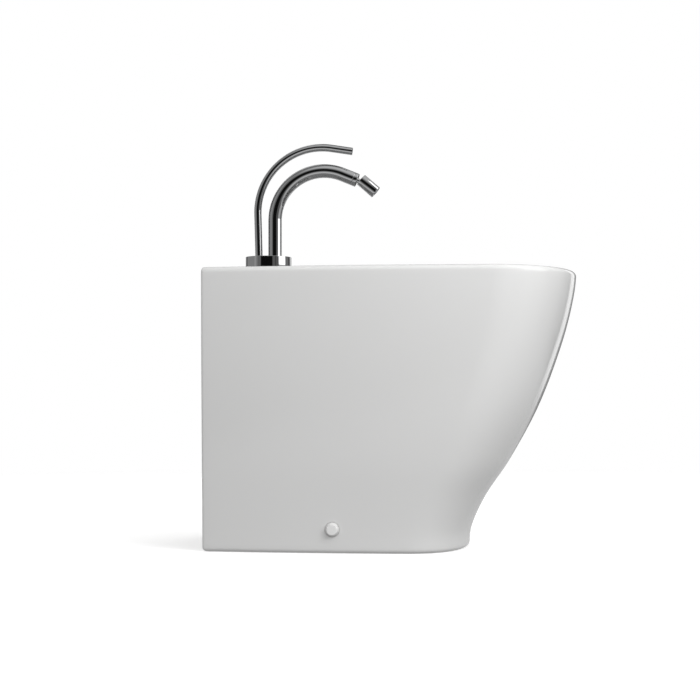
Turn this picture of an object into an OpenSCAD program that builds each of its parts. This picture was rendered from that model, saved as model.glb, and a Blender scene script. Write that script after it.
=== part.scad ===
// Floor standing bidet, back to wall, with a one-hole joystick tap and a push-down waste.
// Millimetres. +Z is up, +X points from the wall to the front, z = 0 is the floor.
// Inside the modules x counts from the wall; each part is then moved so that the
// origin lies under the middle of the ceramic.

/* [Ceramic body] */
// Length from the wall to the front of the rim
body_len = 545; // [515:5:575]
// Height of the rim
body_h = 410; // [395:5:440]
// Largest width of the rim
rim_w = 361; // [345:1:375]
// Width of the rim at the wall
rim_back_w = 290; // [275:1:300]
// Distance from the wall to the widest place of the rim
rim_widest_x = 418; // [400:2:430]
// Roundness of the rim's front, 2 is an ellipse
rim_power = 1.91; // [1.8:0.01:2.3]
// Length of the plinth at the floor
foot_len = 385; // [365:5:400]
// Largest width of the plinth at the floor
foot_w = 302; // [290:1:315]
// Width of the plinth at the wall
foot_back_w = 268; // [256:1:280]
// Distance from the wall to the widest place of the plinth
foot_widest_x = 290; // [270:2:310]
// Roundness of the plinth's front
foot_power = 2.37; // [1.9:0.01:2.6]
// Thickness of the ceramic walls
wall = 12; // [10:0.5:14]
// Thickness of the rear deck
deck_t = 14; // [12:0.5:16]
// Rounding of the rim's outer edge
rim_edge = 8; // [4:0.5:10]
// Rounding of the rim's edge along the wall
rear_edge = 3; // [1:0.5:4]
// Rounding of the plinth's edge at the floor
foot_edge = 6; // [2:0.5:8]

/* [Bowl] */
// Width of the rim in front of the bowl
rim_front = 42; // [36:1:50]
// Distance from the wall to the rear of the bowl
bowl_back_x = 185; // [175:1:200]
// Width of the bowl's mouth
bowl_w = 256; // [230:2:270]
// Squareness of the bowl's mouth, 2 is an ellipse
bowl_power = 2.2; // [2:0.05:2.6]
// Depth of the bowl below the rim
bowl_depth = 150; // [130:2:165]
// Fullness of the bowl's section
bowl_fullness = 2.4; // [2:0.05:3]
// Thickness of the bowl's sides
bowl_wall = 11; // [9:0.5:13]
// Thickness of the ceramic at the waste
bowl_floor_t = 14; // [12:0.5:16]
// Rounding of the bowl's mouth
lip_edge = 9; // [5:0.5:12]
// Distance from the wall to the waste
drain_x = 310; // [295:1:330]
// Radius of the flat seat round the waste
drain_seat_r = 34; // [33:0.5:38]
// Radius of the waste hole
drain_hole_r = 23; // [22:0.5:25]

/* [Overflow] */
// Depth of the overflow hole below the rim
overflow_drop = 42; // [38:1:50]
// Radius of the overflow hole
overflow_r = 10; // [8:0.5:11]
// Radius of the overflow ring's face
overflow_ring_r = 13.5; // [13:0.5:16]
// Radius of the upright overflow channel
duct_r = 8.5; // [7:0.5:9.5]
// Wall of the overflow channel
duct_wall = 5.5; // [4:0.5:7]
// Radius of the channel that leads to the waste
duct_low_r = 4.5; // [3.5:0.25:5]

/* [Opening at the back] */
// Width of the opening for the pipes
back_open_w = 200; // [160:5:220]
// Height of the opening for the pipes
back_open_h = 300; // [250:5:330]
// Radius of the opening's upper corners
back_open_r = 40; // [20:5:60]

/* [Floor fixing] */
// Distance from the wall to the side screws
fix_x = 190; // [175:1:205]
// Height of the side screws
fix_z = 34; // [31:1:40]
// Radius of the screw's shank
fix_screw_r = 3; // [2.5:0.25:3.5]
// Radius of the hole in the plinth
fix_hole_r = 6.5; // [6:0.25:8]
// Length of each floor bracket
bracket_len = 62; // [55:1:75]
// Distance from the plinth's side to the bracket's upright
bracket_inset = 31; // [27:1:36]
// Reach of the bracket's foot towards the middle
bracket_foot = 46; // [40:1:55]
// Thickness of the bracket's steel
bracket_t = 3; // [2:0.5:4]
// Height of the bracket's upright
bracket_h = 56; // [50:1:65]
// Distance between a bracket's two floor holes
floor_hole_gap = 38; // [30:1:42]
// Radius of the floor holes
floor_hole_r = 4.5; // [3.5:0.25:5]
// Radius of the screw cover at the ceramic
cap_r = 10.6; // [9.5:0.1:12]
// Radius of the screw cover's flat face
cap_face_r = 6.8; // [5:0.1:8]
// How far the screw cover stands out
cap_h = 7.5; // [6.5:0.5:10]

/* [Tap base] */
// Distance from the wall to the middle of the base
base_x = 78.3; // [76:0.1:82]
// Radius of the base
base_r = 34.75; // [34:0.25:37]
// Height of the base
base_h = 25.2; // [25:0.1:30]
// Distance from the wall to the lever's axis
lever_x = 64; // [62:0.1:66]
// Distance from the wall to the spout's axis
spout_x = 88.4; // [88:0.1:92]
// Radius of the threaded shank
shank_r = 16.4; // [16:0.1:16.8]
// Length of the shank below the deck
shank_len = 60; // [52:1:75]
// Radius of the tap hole in the deck
tap_hole_r = 17.5; // [17:0.25:19]
// Radius of the hose inlets
inlet_r = 4.5; // [4:0.25:5]
// Depth of the hose inlets' threads
inlet_len = 14; // [10:1:18]
// Distance between the two inlets' axes
inlet_gap = 14.4; // [12:0.2:15]
// Distance across the flats of the fixing nut
shank_nut_af = 46; // [42:1:50]
// Thickness of the fixing nut
shank_nut_t = 9; // [6:0.5:12]

/* [Cartridge] */
// Radius of the bore for the cartridge
cartridge_r = 13.8; // [13.5:0.1:14]
// Wall of the cartridge housing
cartridge_wall = 1.2; // [1:0.1:1.4]
// Depth of the lever's pivot below the base's top
pivot_drop = 8; // [7.5:0.1:8.5]
// Radius of the lever's ball
lever_ball_r = 10.5; // [10.3:0.1:10.9]
// Width of the ball across its flats
lever_ball_w = 13.4; // [12:0.2:14]
// Radius of the pivot pin
pivot_pin_r = 1.5; // [1.2:0.1:1.8]
// Radius of the opening round the lever
ring_hole_r = 9.5; // [9.2:0.1:9.9]
// Distance from the pivot to the spindle's tip
spindle_arm = 14; // [13.6:0.1:14.2]
// Radius of the spindle
spindle_r = 2.5; // [2:0.1:2.6]
// Radius of the moving disc
disc_r = 7.6; // [7:0.1:7.8]
// Thickness of the moving disc
disc_t = 3; // [2.5:0.1:3.2]
// Thickness of the fixed disc
fixed_disc_t = 3.5; // [3:0.1:3.6]
// Angle that the lever tips back to open
lever_open = 18; // [10:1:18]

/* [Lever] */
// Radius of the lever's rod
lever_r = 5.6; // [5:0.1:5.8]
// Backward lean of the lever at its root
lever_lean = 1.5; // [0:0.5:3]
// Straight length of the lever above the base
lever_rise = 66; // [60:1:75]
// Radius of the lever's bend
lever_bend_r = 98; // [94:1:104]
// Angle that the lever's bend turns through
lever_turn = 100.3; // [96:0.1:104]
// Straight length at the lever's tip
lever_tip = 32; // [20:1:40]
// Rounding of the lever's tip
lever_tip_edge = 0.8; // [0.3:0.1:1.5]

/* [Spout] */
// Radius of the spout's tube
spout_r = 10.25; // [9.5:0.05:10.25]
// Wall of the spout's tube
spout_wall = 2; // [1.5:0.1:2.5]
// Straight length of the spout above the base
spout_rise = 56; // [50:1:62]
// Radius of the spout's bend
spout_bend_r = 75; // [72:0.5:78]
// Angle that the spout's bend turns through
spout_turn = 112; // [106:1:116]
// Straight length at the spout's end, with the collar
spout_end_len = 24.3; // [20:0.1:30]
// Length of the collar on the spout's end
collar_len = 6; // [4:0.5:8]
// Radius of the spigot in the base
spigot_r = 7.5; // [7:0.1:7.7]
// Length of the spigot in the base
spigot_len = 19.5; // [18:0.5:20]

/* [Nozzle] */
// Radius of the nozzle
nozzle_r = 9.5; // [9:0.1:10]
// Length of the nozzle
nozzle_len = 29.5; // [27:0.5:32]
// Radius of the ball in the nozzle
nozzle_ball_r = 6.8; // [6.5:0.1:7]
// Radius of the neck between spout and ball
neck_r = 3.7; // [3.4:0.1:3.8]
// Distance from the collar's end to the ball's centre
ball_reach = 14; // [13.6:0.1:15]
// Distance from the nozzle's rear face to the ball's centre
ball_depth = 9.2; // [9:0.1:9.4]
// Angle between the spout's end and the nozzle at rest
nozzle_dip = 18.8; // [10:0.2:20]
// Largest angle of the nozzle from the spout's axis
nozzle_cone = 22; // [20:0.5:22.5]
// Radius of the waterway in the neck
neck_bore_r = 2.2; // [1.8:0.1:2.4]

/* [Waste] */
// Radius of the waste's thread
waste_r = 20.95; // [20:0.05:21]
// Wall of the waste body
waste_wall = 3; // [2.5:0.1:3.5]
// Length of the waste body below the bowl
waste_len = 76; // [70:1:100]
// Radius of the waste flange
flange_r = 32; // [30:0.5:32.5]
// Thickness of the waste flange
flange_t = 3.5; // [3:0.1:5]
// Radius of the plug
plug_r = 27; // [25:0.5:29]
// Thickness of the plug at its edge
plug_t = 4; // [3:0.1:6]
// Height of the plug's crown
plug_crown = 2.5; // [1:0.1:4]
// Travel of the plug
plug_travel = 7; // [5:0.5:8]
// Radius of the plug's stem
stem_r = 3.5; // [3:0.1:4]
// Radius of the spring, to the middle of its wire
spring_r = 6.5; // [5.5:0.1:7.5]
// Thickness of the spring's wire
spring_wire = 1.2; // [1:0.1:1.6]
// Number of the spring's turns
spring_turns = 6; // [4:1:8]
// Distance across the flats of the waste nut
waste_nut_af = 58; // [54:1:64]
// Thickness of the waste nut
waste_nut_t = 8; // [6:0.5:12]

/* [Seals and clearances] */
// Thickness of the soft washers
soft_t = 3; // [2:0.5:4]
// Thickness of the steel washer
washer_t = 2; // [1.5:0.5:3]
// Gap between parts that move past each other
gap = 0.3; // [0.25:0.05:0.4]
// Radial clearance of a pin that turns in its hole
fit = 0.05; // [0.02:0.01:0.08]
// Radial clearance of parts that are pushed together
slip = 0.1; // [0.05:0.05:0.2]

/* [Hidden] */

// Colours
china = [0.93, 0.93, 0.92];
chrome = [0.78, 0.79, 0.8];
steel = [0.6, 0.61, 0.63];
brass = [0.78, 0.65, 0.35];
rubber = [0.12, 0.12, 0.12];
white_plastic = [0.92, 0.92, 0.9];
grey_plastic = [0.45, 0.46, 0.48];
disc_white = [0.88, 0.87, 0.84];

// Smoothness of turned parts and of the two bends
TURN_FN = 64;
SMALL_FN = 32;
BEND_FN = 96;
// Reach of a cut past the surface that it opens
OVER = 1;

// Segments of half an outline: along the wall, along the side and round the front
WALL_SEGS = 3;
SIDE_SEGS = 10;
FRONT_SEGS = 18;
// Steps of the loft's stretches
OUTER_STEPS = 14;
EDGE_STEPS = 3;
BOWL_STEPS = 10;
UNDER_STEPS = 8;
INNER_STEPS = 7;

// The side profile: share of the height, and share of the way from plinth to rim
PROFILE = [[0, 0], [0.073, 0.022], [0.183, 0.152], [0.317, 0.38],
    [0.512, 0.648], [0.732, 0.86], [0.89, 0.966], [1, 1]];

// Levels
deck_under = body_h - deck_t;
bowl_z = body_h - bowl_depth;
waste_under = bowl_z - bowl_floor_t;
overflow_z = body_h - overflow_drop;
// The bowl's mouth
bowl_front_x = body_len - rim_front;
bowl_x = (bowl_front_x + bowl_back_x) / 2;
bowl_a = (bowl_front_x - bowl_back_x) / 2;
bowl_b = bowl_w / 2;

function lerp(a, b, t) = a + (b - a) * t;

// Slope of the profile at one of its points, level at both ends
function profile_slope(i) = i == 0 || i == len(PROFILE) - 1 ? 0 :
    (PROFILE[i + 1][1] - PROFILE[i - 1][1]) / (PROFILE[i + 1][0] - PROFILE[i - 1][0]);

// Cubic between two points of the profile
function profile_cubic(i, u) =
    let (step = PROFILE[i + 1][0] - PROFILE[i][0], t = (u - PROFILE[i][0]) / step)
    (2 * t^3 - 3 * t^2 + 1) * PROFILE[i][1] + (t^3 - 2 * t^2 + t) * step * profile_slope(i)
    + (3 * t^2 - 2 * t^3) * PROFILE[i + 1][1] + (t^3 - t^2) * step * profile_slope(i + 1);

// Share of the flare reached at height z: 0 at the floor, 1 at the rim
function flare(z, i = 0) =
    let (u = min(1, max(0, z / body_h)))
    i >= len(PROFILE) - 2 || u <= PROFILE[i + 1][0] ? profile_cubic(i, u) : flare(z, i + 1);

// Half width of the body at distance x from the wall, up to the widest place
function side_half_w(x, f) =
    let (widest_x = lerp(foot_widest_x, rim_widest_x, f),
         half = lerp(foot_w, rim_w, f) / 2,
         half_back = lerp(foot_back_w, rim_back_w, f) / 2)
    half - (half - half_back) * ((widest_x - x) / widest_x)^2;

// Half of the outline at flare f, from the middle of the wall side round +Y to the front
function half_outline(f, inset, back_inset) =
    let (widest_x = lerp(foot_widest_x, rim_widest_x, f),
         half = lerp(foot_w, rim_w, f) / 2 - inset,
         front_x = lerp(foot_len, body_len, f) - inset,
         power = lerp(foot_power, rim_power, f),
         corner_y = side_half_w(back_inset, f) - inset)
    concat(
        [for (k = [0 : WALL_SEGS - 1]) [back_inset, corner_y * k / WALL_SEGS]],
        [for (k = [0 : SIDE_SEGS - 1])
            let (x = lerp(back_inset, widest_x, k / SIDE_SEGS)) [x, side_half_w(x, f) - inset]],
        [for (k = [0 : FRONT_SEGS - 1])
            let (a = 90 * k / FRONT_SEGS)
            [widest_x + (front_x - widest_x) * sin(a)^(2 / power), half * cos(a)^(2 / power)]],
        [[front_x, 0]]);

// The whole outline, mirrored over y = 0
function outline(f, inset, back_inset) =
    let (half = half_outline(f, inset, back_inset), last = len(half) - 1)
    concat(half, [for (i = [last - 1 : -1 : 1]) [half[i][0], -half[i][1]]]);

function at_height(points, z) = [for (p = points) [p[0], p[1], z]];

// Directions from the bowl's middle to the points of the rim
RIM_ANGLES = [for (p = outline(1, rim_edge, rear_edge)) atan2(p[1], p[0] - bowl_x)];

// A closed ring of the bowl: share s is 1 at the mouth and 0 at the waste,
// base is the ring's radius at the waste and grow is added at the mouth
function bowl_ring(s, base, grow, z) =
    let (a = base + (bowl_a + grow - base) * s, b = base + (bowl_b + grow - base) * s,
         power = lerp(2, bowl_power, s), x = lerp(drain_x, bowl_x, s))
    [for (t = RIM_ANGLES)
        let (r = (pow(abs(cos(t)) / a, power) + pow(abs(sin(t)) / b, power))^(-1 / power))
        [x + r * cos(t), r * sin(t), z]];

// Section of the bowl: how far in and how far down at angle t
function section_in(t) = cos(t)^(2 / bowl_fullness);
function section_down(t) = sin(t)^(2 / bowl_fullness);

// Outer depth of the bowl and the angle where its underside meets the deck
under_depth = bowl_depth + bowl_floor_t;
under_seat_lap = 6;
under_seat_r = drain_seat_r + under_seat_lap;
under_start = asin((deck_t / under_depth)^(bowl_fullness / 2));

// All rings of the shell, from the outer foot up, over the rim, through the bowl and the
// waste hole, back up under the bowl and down inside the wall
function shell_rings() = concat(
    [for (k = [0 : EDGE_STEPS])
        let (a = 90 * k / EDGE_STEPS, inset = foot_edge * (1 - sin(a)), z = foot_edge * (1 - cos(a)))
        at_height(outline(flare(z), inset, inset), z)],
    [for (k = [1 : OUTER_STEPS - 1])
        let (z = lerp(foot_edge, body_h - rim_edge, k / OUTER_STEPS))
        at_height(outline(flare(z), 0, 0), z)],
    [for (k = [EDGE_STEPS : -1 : 0])
        let (a = 90 * k / EDGE_STEPS, share = 1 - sin(a), z = body_h - rim_edge * (1 - cos(a)))
        at_height(outline(flare(z), rim_edge * share, rear_edge * share), z)],
    [for (k = [0 : EDGE_STEPS])
        let (a = 90 * k / EDGE_STEPS)
        bowl_ring(1, drain_seat_r, lip_edge * (1 - sin(a)), body_h - lip_edge * (1 - cos(a)))],
    [for (k = [1 : BOWL_STEPS])
        let (t = lerp(16, 90, (k - 1) / (BOWL_STEPS - 1)))
        bowl_ring(section_in(t), drain_seat_r, 0, body_h - bowl_depth * section_down(t))],
    [bowl_ring(0, drain_hole_r, 0, bowl_z),
        bowl_ring(0, drain_hole_r, 0, waste_under)],
    [for (k = [0 : UNDER_STEPS])
        let (t = lerp(90, under_start, k / UNDER_STEPS))
        bowl_ring(section_in(t), under_seat_r, bowl_wall, body_h - under_depth * section_down(t))],
    [for (k = [0 : INNER_STEPS])
        let (z = lerp(deck_under, 0, k / INNER_STEPS))
        at_height(outline(flare(z), wall, wall), z)]);

// Skin between closed rings of equal length, joined last to first
module ring_loop(rings) {
    n = len(rings[0]);
    rows = len(rings);
    points = [for (ring = rings) each ring];
    faces = [for (j = [0 : rows - 1], i = [0 : n - 1])
        let (next = (i + 1) % n, low = j * n, high = ((j + 1) % rows) * n)
        each [[low + next, high + next, high + i], [low + next, high + i, low + i]]];
    polyhedron(points = points, faces = faces, convexity = 10);
}

// Moves what is drawn from the wall's datum to the part's origin
module from_wall() translate([-body_len / 2, 0, 0]) children();

// Both sides of the body
module both_sides() for (side = [-1, 1]) scale([1, side, 1]) children();

// A ring with a square section, standing on z = 0
module tube(outer, inner, height, fn = TURN_FN) difference() {
    cylinder(r = outer, h = height, $fn = fn);
    translate([0, 0, -OVER]) cylinder(r = inner, h = height + 2 * OVER, $fn = fn);
}

// A hexagon nut with a plain bore
module hex_nut(across_flats, bore_r, height) difference() {
    cylinder(d = across_flats / cos(30), h = height, $fn = 6);
    translate([0, 0, -OVER]) cylinder(r = bore_r, h = height + 2 * OVER, $fn = TURN_FN);
}

/* Ceramic body */

// Rear surface of the bowl at a height below the rim
function bowl_rear_x(drop) =
    let (s = (1 - (drop / bowl_depth)^bowl_fullness)^(1 / bowl_fullness),
         a = drain_seat_r + (bowl_a - drain_seat_r) * s)
    lerp(drain_x, bowl_x, s) - a;
// The overflow ring's seat is cut flat this far behind the bowl's surface
overflow_seat = 2;
overflow_seat_x = bowl_rear_x(overflow_drop) - overflow_seat;
duct_x = bowl_rear_x(overflow_drop) - bowl_wall - duct_r;
duct_low_z = bowl_z - bowl_floor_t * 0.54;
duct_low_wall = 2.6;
duct_low_lap = 2;
duct_low_end = drain_x - under_seat_r + duct_low_lap;

// Channel walls that lead the overflow behind the bowl and down to the waste
module overflow_duct() {
    foot_z = duct_low_z - duct_low_r - duct_low_wall - OVER;
    translate([duct_x, 0, foot_z]) cylinder(r = duct_r + duct_wall, h = deck_under + OVER - foot_z, $fn = SMALL_FN);
    translate([duct_x, 0, duct_low_z]) rotate([0, 90, 0])
        cylinder(r = duct_low_r + duct_low_wall, h = duct_low_end - duct_x, $fn = SMALL_FN);
}

module overflow_bores() {
    translate([duct_x, 0, overflow_z]) rotate([0, 90, 0])
        cylinder(r = overflow_r, h = overflow_seat_x - duct_x + 2 * OVER, $fn = TURN_FN);
    translate([overflow_seat_x, 0, overflow_z]) rotate([0, 90, 0])
        cylinder(r = overflow_ring_r + gap, h = 3 * overflow_seat, $fn = TURN_FN);
    translate([duct_x, 0, duct_low_z]) cylinder(r = duct_r, h = overflow_z + overflow_r - duct_low_z, $fn = SMALL_FN);
    translate([duct_x, 0, duct_low_z]) rotate([0, 90, 0])
        cylinder(r = duct_low_r, h = drain_x - duct_x, $fn = SMALL_FN);
}

// Arched opening in the wall side that the pipes pass through
module back_opening() {
    half = back_open_w / 2;
    translate([-OVER, 0, 0]) rotate([90, 0, 90]) linear_extrude(wall + 2 * OVER) union() {
        translate([-half, -OVER]) square([back_open_w, back_open_h - back_open_r + OVER]);
        translate([-half + back_open_r, -OVER]) square([back_open_w - 2 * back_open_r, back_open_h + OVER]);
        for (side = [-1, 1]) translate([side * (half - back_open_r), back_open_h - back_open_r])
            circle(r = back_open_r, $fn = TURN_FN);
    }
}

// The side screws sit on a flat, ground this deep into the leaning wall
seat_cut = 0.3;
cap_seat_y = side_half_w(fix_x - cap_r, flare(fix_z - cap_r)) - seat_cut;

module side_screw_cuts() both_sides() translate([fix_x, 0, fix_z]) rotate([-90, 0, 0]) {
    translate([0, 0, upright_y]) cylinder(r = fix_hole_r, h = wall * 4, $fn = TURN_FN);
    translate([0, 0, cap_seat_y]) cylinder(r = cap_r + gap, h = wall, $fn = TURN_FN);
}

module ceramic_body() from_wall() color(china) difference() {
    union() {
        ring_loop(shell_rings());
        overflow_duct();
    }
    overflow_bores();
    back_opening();
    side_screw_cuts();
    translate([lever_x, 0, deck_under - OVER]) cylinder(r = tap_hole_r, h = deck_t + 2 * OVER, $fn = TURN_FN);
}

/* Floor fixing */

upright_y = foot_w / 2 - bracket_inset;
sleeve_head_t = 1.5;
sleeve_lap = 2;
sleeve_head_r = fix_hole_r + sleeve_lap;
screw_head_h = 2.6;
screw_head_r = fix_screw_r * 2;
screw_tail = 8;
recess_w = 1.1;
recess_h = 2.4;
block_len = 30;
block_lift = 6;
block_bottom = bracket_t + block_lift;
block_top = fix_z * 2 - block_bottom;
// The block stops short of the leaning wall
block_y = side_half_w(fix_x - block_len / 2, flare(block_bottom)) - wall - gap;
floor_hole_y = upright_y - bracket_foot / 2 - bracket_t;

module floor_brackets() from_wall() color(steel) both_sides() difference() {
    union() {
        translate([fix_x - bracket_len / 2, upright_y - bracket_foot, 0])
            cube([bracket_len, bracket_foot, bracket_t]);
        translate([fix_x - bracket_len / 2, upright_y - bracket_t, 0])
            cube([bracket_len, bracket_t, bracket_h]);
        // gussets that keep the angle square
        for (end = [0, bracket_len - bracket_t])
            translate([fix_x - bracket_len / 2 + end + bracket_t, upright_y - bracket_t, bracket_t])
                rotate([0, -90, 0]) linear_extrude(bracket_t)
                    polygon([[0, 0], [bracket_h * 0.6, 0], [0, -bracket_foot * 0.6]]);
    }
    for (end = [-1, 1]) translate([fix_x + end * floor_hole_gap / 2, floor_hole_y, -OVER])
        cylinder(r = floor_hole_r, h = bracket_t + 2 * OVER, $fn = SMALL_FN);
    translate([fix_x, upright_y - bracket_t - OVER, fix_z]) rotate([-90, 0, 0])
        cylinder(r = fix_screw_r + slip, h = bracket_t + 2 * OVER, $fn = SMALL_FN);
}

module bracket_blocks() from_wall() color(grey_plastic) both_sides() difference() {
    translate([fix_x - block_len / 2, upright_y, block_bottom])
        cube([block_len, block_y - upright_y, block_top - block_bottom]);
    translate([fix_x, upright_y - OVER, fix_z]) rotate([-90, 0, 0])
        cylinder(r = fix_screw_r + slip, h = block_y - upright_y + 2 * OVER, $fn = SMALL_FN);
}

module screw_sleeves() from_wall() color(white_plastic) both_sides()
    translate([fix_x, cap_seat_y, fix_z]) rotate([-90, 0, 0]) {
        inner_y = block_y + gap;
        difference() {
            union() {
                cylinder(r = sleeve_head_r, h = sleeve_head_t, $fn = TURN_FN);
                translate([0, 0, inner_y - cap_seat_y])
                    cylinder(r = fix_hole_r - slip, h = cap_seat_y - inner_y + OVER, $fn = TURN_FN);
            }
            translate([0, 0, inner_y - cap_seat_y - OVER])
                cylinder(r = fix_screw_r + slip, h = cap_seat_y - inner_y + sleeve_head_t + 2 * OVER, $fn = SMALL_FN);
        }
    }

module fixing_screws() from_wall() color(steel) both_sides()
    translate([fix_x, 0, fix_z]) rotate([-90, 0, 0]) difference() {
        head_y = cap_seat_y + sleeve_head_t;
        union() {
            translate([0, 0, upright_y - bracket_t - screw_tail])
                cylinder(r = fix_screw_r, h = head_y - upright_y + bracket_t + screw_tail + OVER, $fn = SMALL_FN);
            translate([0, 0, head_y])
                cylinder(r1 = screw_head_r, r2 = screw_head_r * 0.7, h = screw_head_h, $fn = SMALL_FN);
        }
        // cross recess
        for (turn = [0, 90]) translate([0, 0, head_y + screw_head_h]) rotate([0, 0, turn])
            cube([screw_head_r * 1.1, recess_w, recess_h], center = true);
    }

// Tapered cover that clips over the head of the sleeve
module screw_caps() from_wall() color(white_plastic) both_sides()
    translate([fix_x, cap_seat_y, fix_z]) rotate([-90, 0, 0]) rotate_extrude($fn = TURN_FN) {
        edge = 0.8;
        shell = 1.4;
        play = 0.6;
        polygon([[sleeve_head_r + slip, 0], [cap_r - edge / 2, 0], [cap_r, edge],
            [cap_face_r + edge, cap_h - edge / 3], [cap_face_r, cap_h],
            [0, cap_h], [0, cap_h - shell], [cap_face_r - slip, cap_h - shell],
            [sleeve_head_r + slip, sleeve_head_t + play]]);
    }

/* Tap */

deck_z = body_h;
base_top = deck_z + base_h;
pivot_z = base_top - pivot_drop;
ring_t = 2.8;
// Stack of the cartridge, downwards from the retaining ring
guide_top = base_top - ring_t - gap;
plate_top = pivot_z - lever_ball_r - gap;
plate_t = 2.2;
carrier_top = plate_top - plate_t - gap;
tip_cover = 3;
carrier_bottom = pivot_z - spindle_arm - tip_cover;
disc_gap = 0.05;
disc_bottom = carrier_bottom - disc_t;
fixed_top = disc_bottom - disc_gap;
fixed_bottom = fixed_top - fixed_disc_t;
cartridge_seal_t = 2.5;
cartridge_floor_z = fixed_bottom - cartridge_seal_t;
guide_r = cartridge_r - cartridge_wall - slip - gap;
disc_travel = spindle_arm * lever_open * PI / 180;
spindle_swell = 0.4;
spindle_ball_r = spindle_r + spindle_swell;
ear_inner = lever_ball_w / 2 + gap;
socket_r = spigot_r + slip;
socket_deeper = 4;
socket_floor = base_top - spigot_len - socket_deeper;
mix_lift = 3.2;
mix_z = deck_z + mix_lift;
mix_r = 2;
// Ports of the discs and the passages from the inlets up to them, ahead of the lever's axis
port_x = 4.7;
port_y = 3.7;
port_r = 1.4;
feed_x = 3.6;
feed_y = 5.4;
feed_r = 2;
inlet_x = 2.5;

module tap_base() from_wall() color(chrome) difference() {
    union() {
        translate([base_x, 0, deck_z]) rotate_extrude($fn = BEND_FN) {
            edge = 0.5;
            polygon([[0, 0], [base_r, 0], [base_r, base_h - edge], [base_r - edge, base_h], [0, base_h]]);
        }
        translate([lever_x, 0, deck_z - shank_len]) cylinder(r = shank_r, h = shank_len + OVER, $fn = TURN_FN);
    }
    // cartridge bore
    translate([lever_x, 0, cartridge_floor_z])
        cylinder(r = cartridge_r, h = base_top - cartridge_floor_z + OVER, $fn = TURN_FN);
    // spout socket and the passage that feeds it
    translate([spout_x, 0, socket_floor]) cylinder(r = socket_r, h = base_top - socket_floor + OVER, $fn = TURN_FN);
    translate([lever_x, 0, mix_z]) rotate([0, 90, 0]) cylinder(r = mix_r, h = spout_x - lever_x, $fn = SMALL_FN);
    // hose inlets and the passages above them
    for (side = [-1, 1]) translate([lever_x, 0, deck_z - shank_len - OVER]) {
        translate([inlet_x, side * inlet_gap / 2, 0]) cylinder(r = inlet_r, h = inlet_len + OVER, $fn = SMALL_FN);
        translate([feed_x, side * feed_y, 0])
            cylinder(r = feed_r, h = cartridge_floor_z - deck_z + shank_len + 2 * OVER, $fn = SMALL_FN);
    }
    // groove of the base seal
    translate([base_x, 0, deck_z - OVER]) difference() {
        cylinder(r = seal_outer, h = seal_t + OVER, $fn = TURN_FN);
        cylinder(r = seal_inner, h = seal_t + OVER, $fn = TURN_FN);
    }
    // hole of the screw that locks the spout
    translate([spout_x + socket_r - OVER, 0, lock_z]) rotate([0, 90, 0])
        cylinder(r = lock_r, h = base_r, $fn = SMALL_FN);
}

seal_inset = 1.6;
seal_w = 2.2;
seal_outer = base_r - seal_inset;
seal_inner = seal_outer - seal_w;
seal_t = 1.6;
// The screw that locks the spout: its point enters the spigot, its socket stays below the base's side
lock_r = 1.5;
lock_drop = 7;
lock_z = base_top - lock_drop;
lock_depth = 0.8;
lock_sunk = 2.5;
lock_socket = 2;
lock_key = 1.5;

module base_seal() from_wall() color(rubber)
    translate([base_x, 0, deck_z]) tube(seal_outer - slip, seal_inner + slip, seal_t);

module spout_screw() from_wall() color(steel) {
    length = base_x + base_r - spout_x - spigot_r + lock_depth - lock_sunk;
    translate([spout_x + spigot_r - lock_depth, 0, lock_z]) rotate([0, 90, 0]) difference() {
        cylinder(r = lock_r, h = length, $fn = SMALL_FN);
        translate([0, 0, length - lock_socket]) cylinder(d = lock_key, h = lock_socket + OVER, $fn = 6);
    }
}

module shank_gasket() from_wall() color(rubber)
    translate([lever_x, 0, deck_under - soft_t]) tube(shank_nut_af * 0.6, shank_r + slip, soft_t);

module shank_washer() from_wall() color(steel)
    translate([lever_x, 0, deck_under - soft_t - washer_t]) tube(shank_nut_af * 0.6, shank_r + slip, washer_t);

module shank_nut() from_wall() color(brass)
    translate([lever_x, 0, deck_under - soft_t - washer_t - shank_nut_t]) hex_nut(shank_nut_af, shank_r, shank_nut_t);

/* Cartridge */

module cartridge_body() from_wall() color(grey_plastic) translate([lever_x, 0, 0]) difference() {
    outer = cartridge_r - slip;
    inner = outer - cartridge_wall;
    translate([0, 0, fixed_bottom]) tube(outer, inner, guide_top + gap - fixed_bottom);
    // window to the spout's passage
    translate([0, 0, mix_z]) rotate([0, 90, 0]) cylinder(r = mix_r, h = cartridge_r * 2, $fn = SMALL_FN);
}

module retaining_ring() from_wall() color(chrome)
    translate([lever_x, 0, base_top - ring_t]) difference() {
        cylinder(r = cartridge_r - slip / 2, h = ring_t, $fn = TURN_FN);
        translate([0, 0, -OVER]) cylinder(r = ring_hole_r, h = ring_t + 2 * OVER, $fn = TURN_FN);
        // two holes for a pin spanner
        for (side = [-1, 1]) translate([0, side * (cartridge_r + ring_hole_r) / 2, ring_t / 2])
            cylinder(r = ring_t * 0.3, h = ring_t, $fn = SMALL_FN);
    }

// Ports for hot and cold water, fed from the inlets
module ports(height) for (side = [-1, 1]) translate([port_x, side * port_y, -OVER])
    cylinder(r = port_r, h = height + 2 * OVER, $fn = SMALL_FN);

module cartridge_seal() from_wall() color(rubber) translate([lever_x, 0, cartridge_floor_z]) difference() {
    seal_h = fixed_bottom - cartridge_floor_z;
    cylinder(r = cartridge_r - cartridge_wall, h = seal_h, $fn = TURN_FN);
    ports(seal_h);
}

module fixed_disc() from_wall() color(disc_white) translate([lever_x, 0, fixed_bottom]) difference() {
    cylinder(r = cartridge_r - cartridge_wall - 2 * slip, h = fixed_disc_t, $fn = TURN_FN);
    ports(fixed_disc_t);
}

// Its land covers the two ports at rest. As it slides forward its opening comes over them,
// and the mixed water rises through it into the housing and on to the spout
module moving_disc() from_wall() color(disc_white) translate([lever_x, 0, disc_bottom])
    tube(disc_r, disc_r * 0.56, disc_t);

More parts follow.
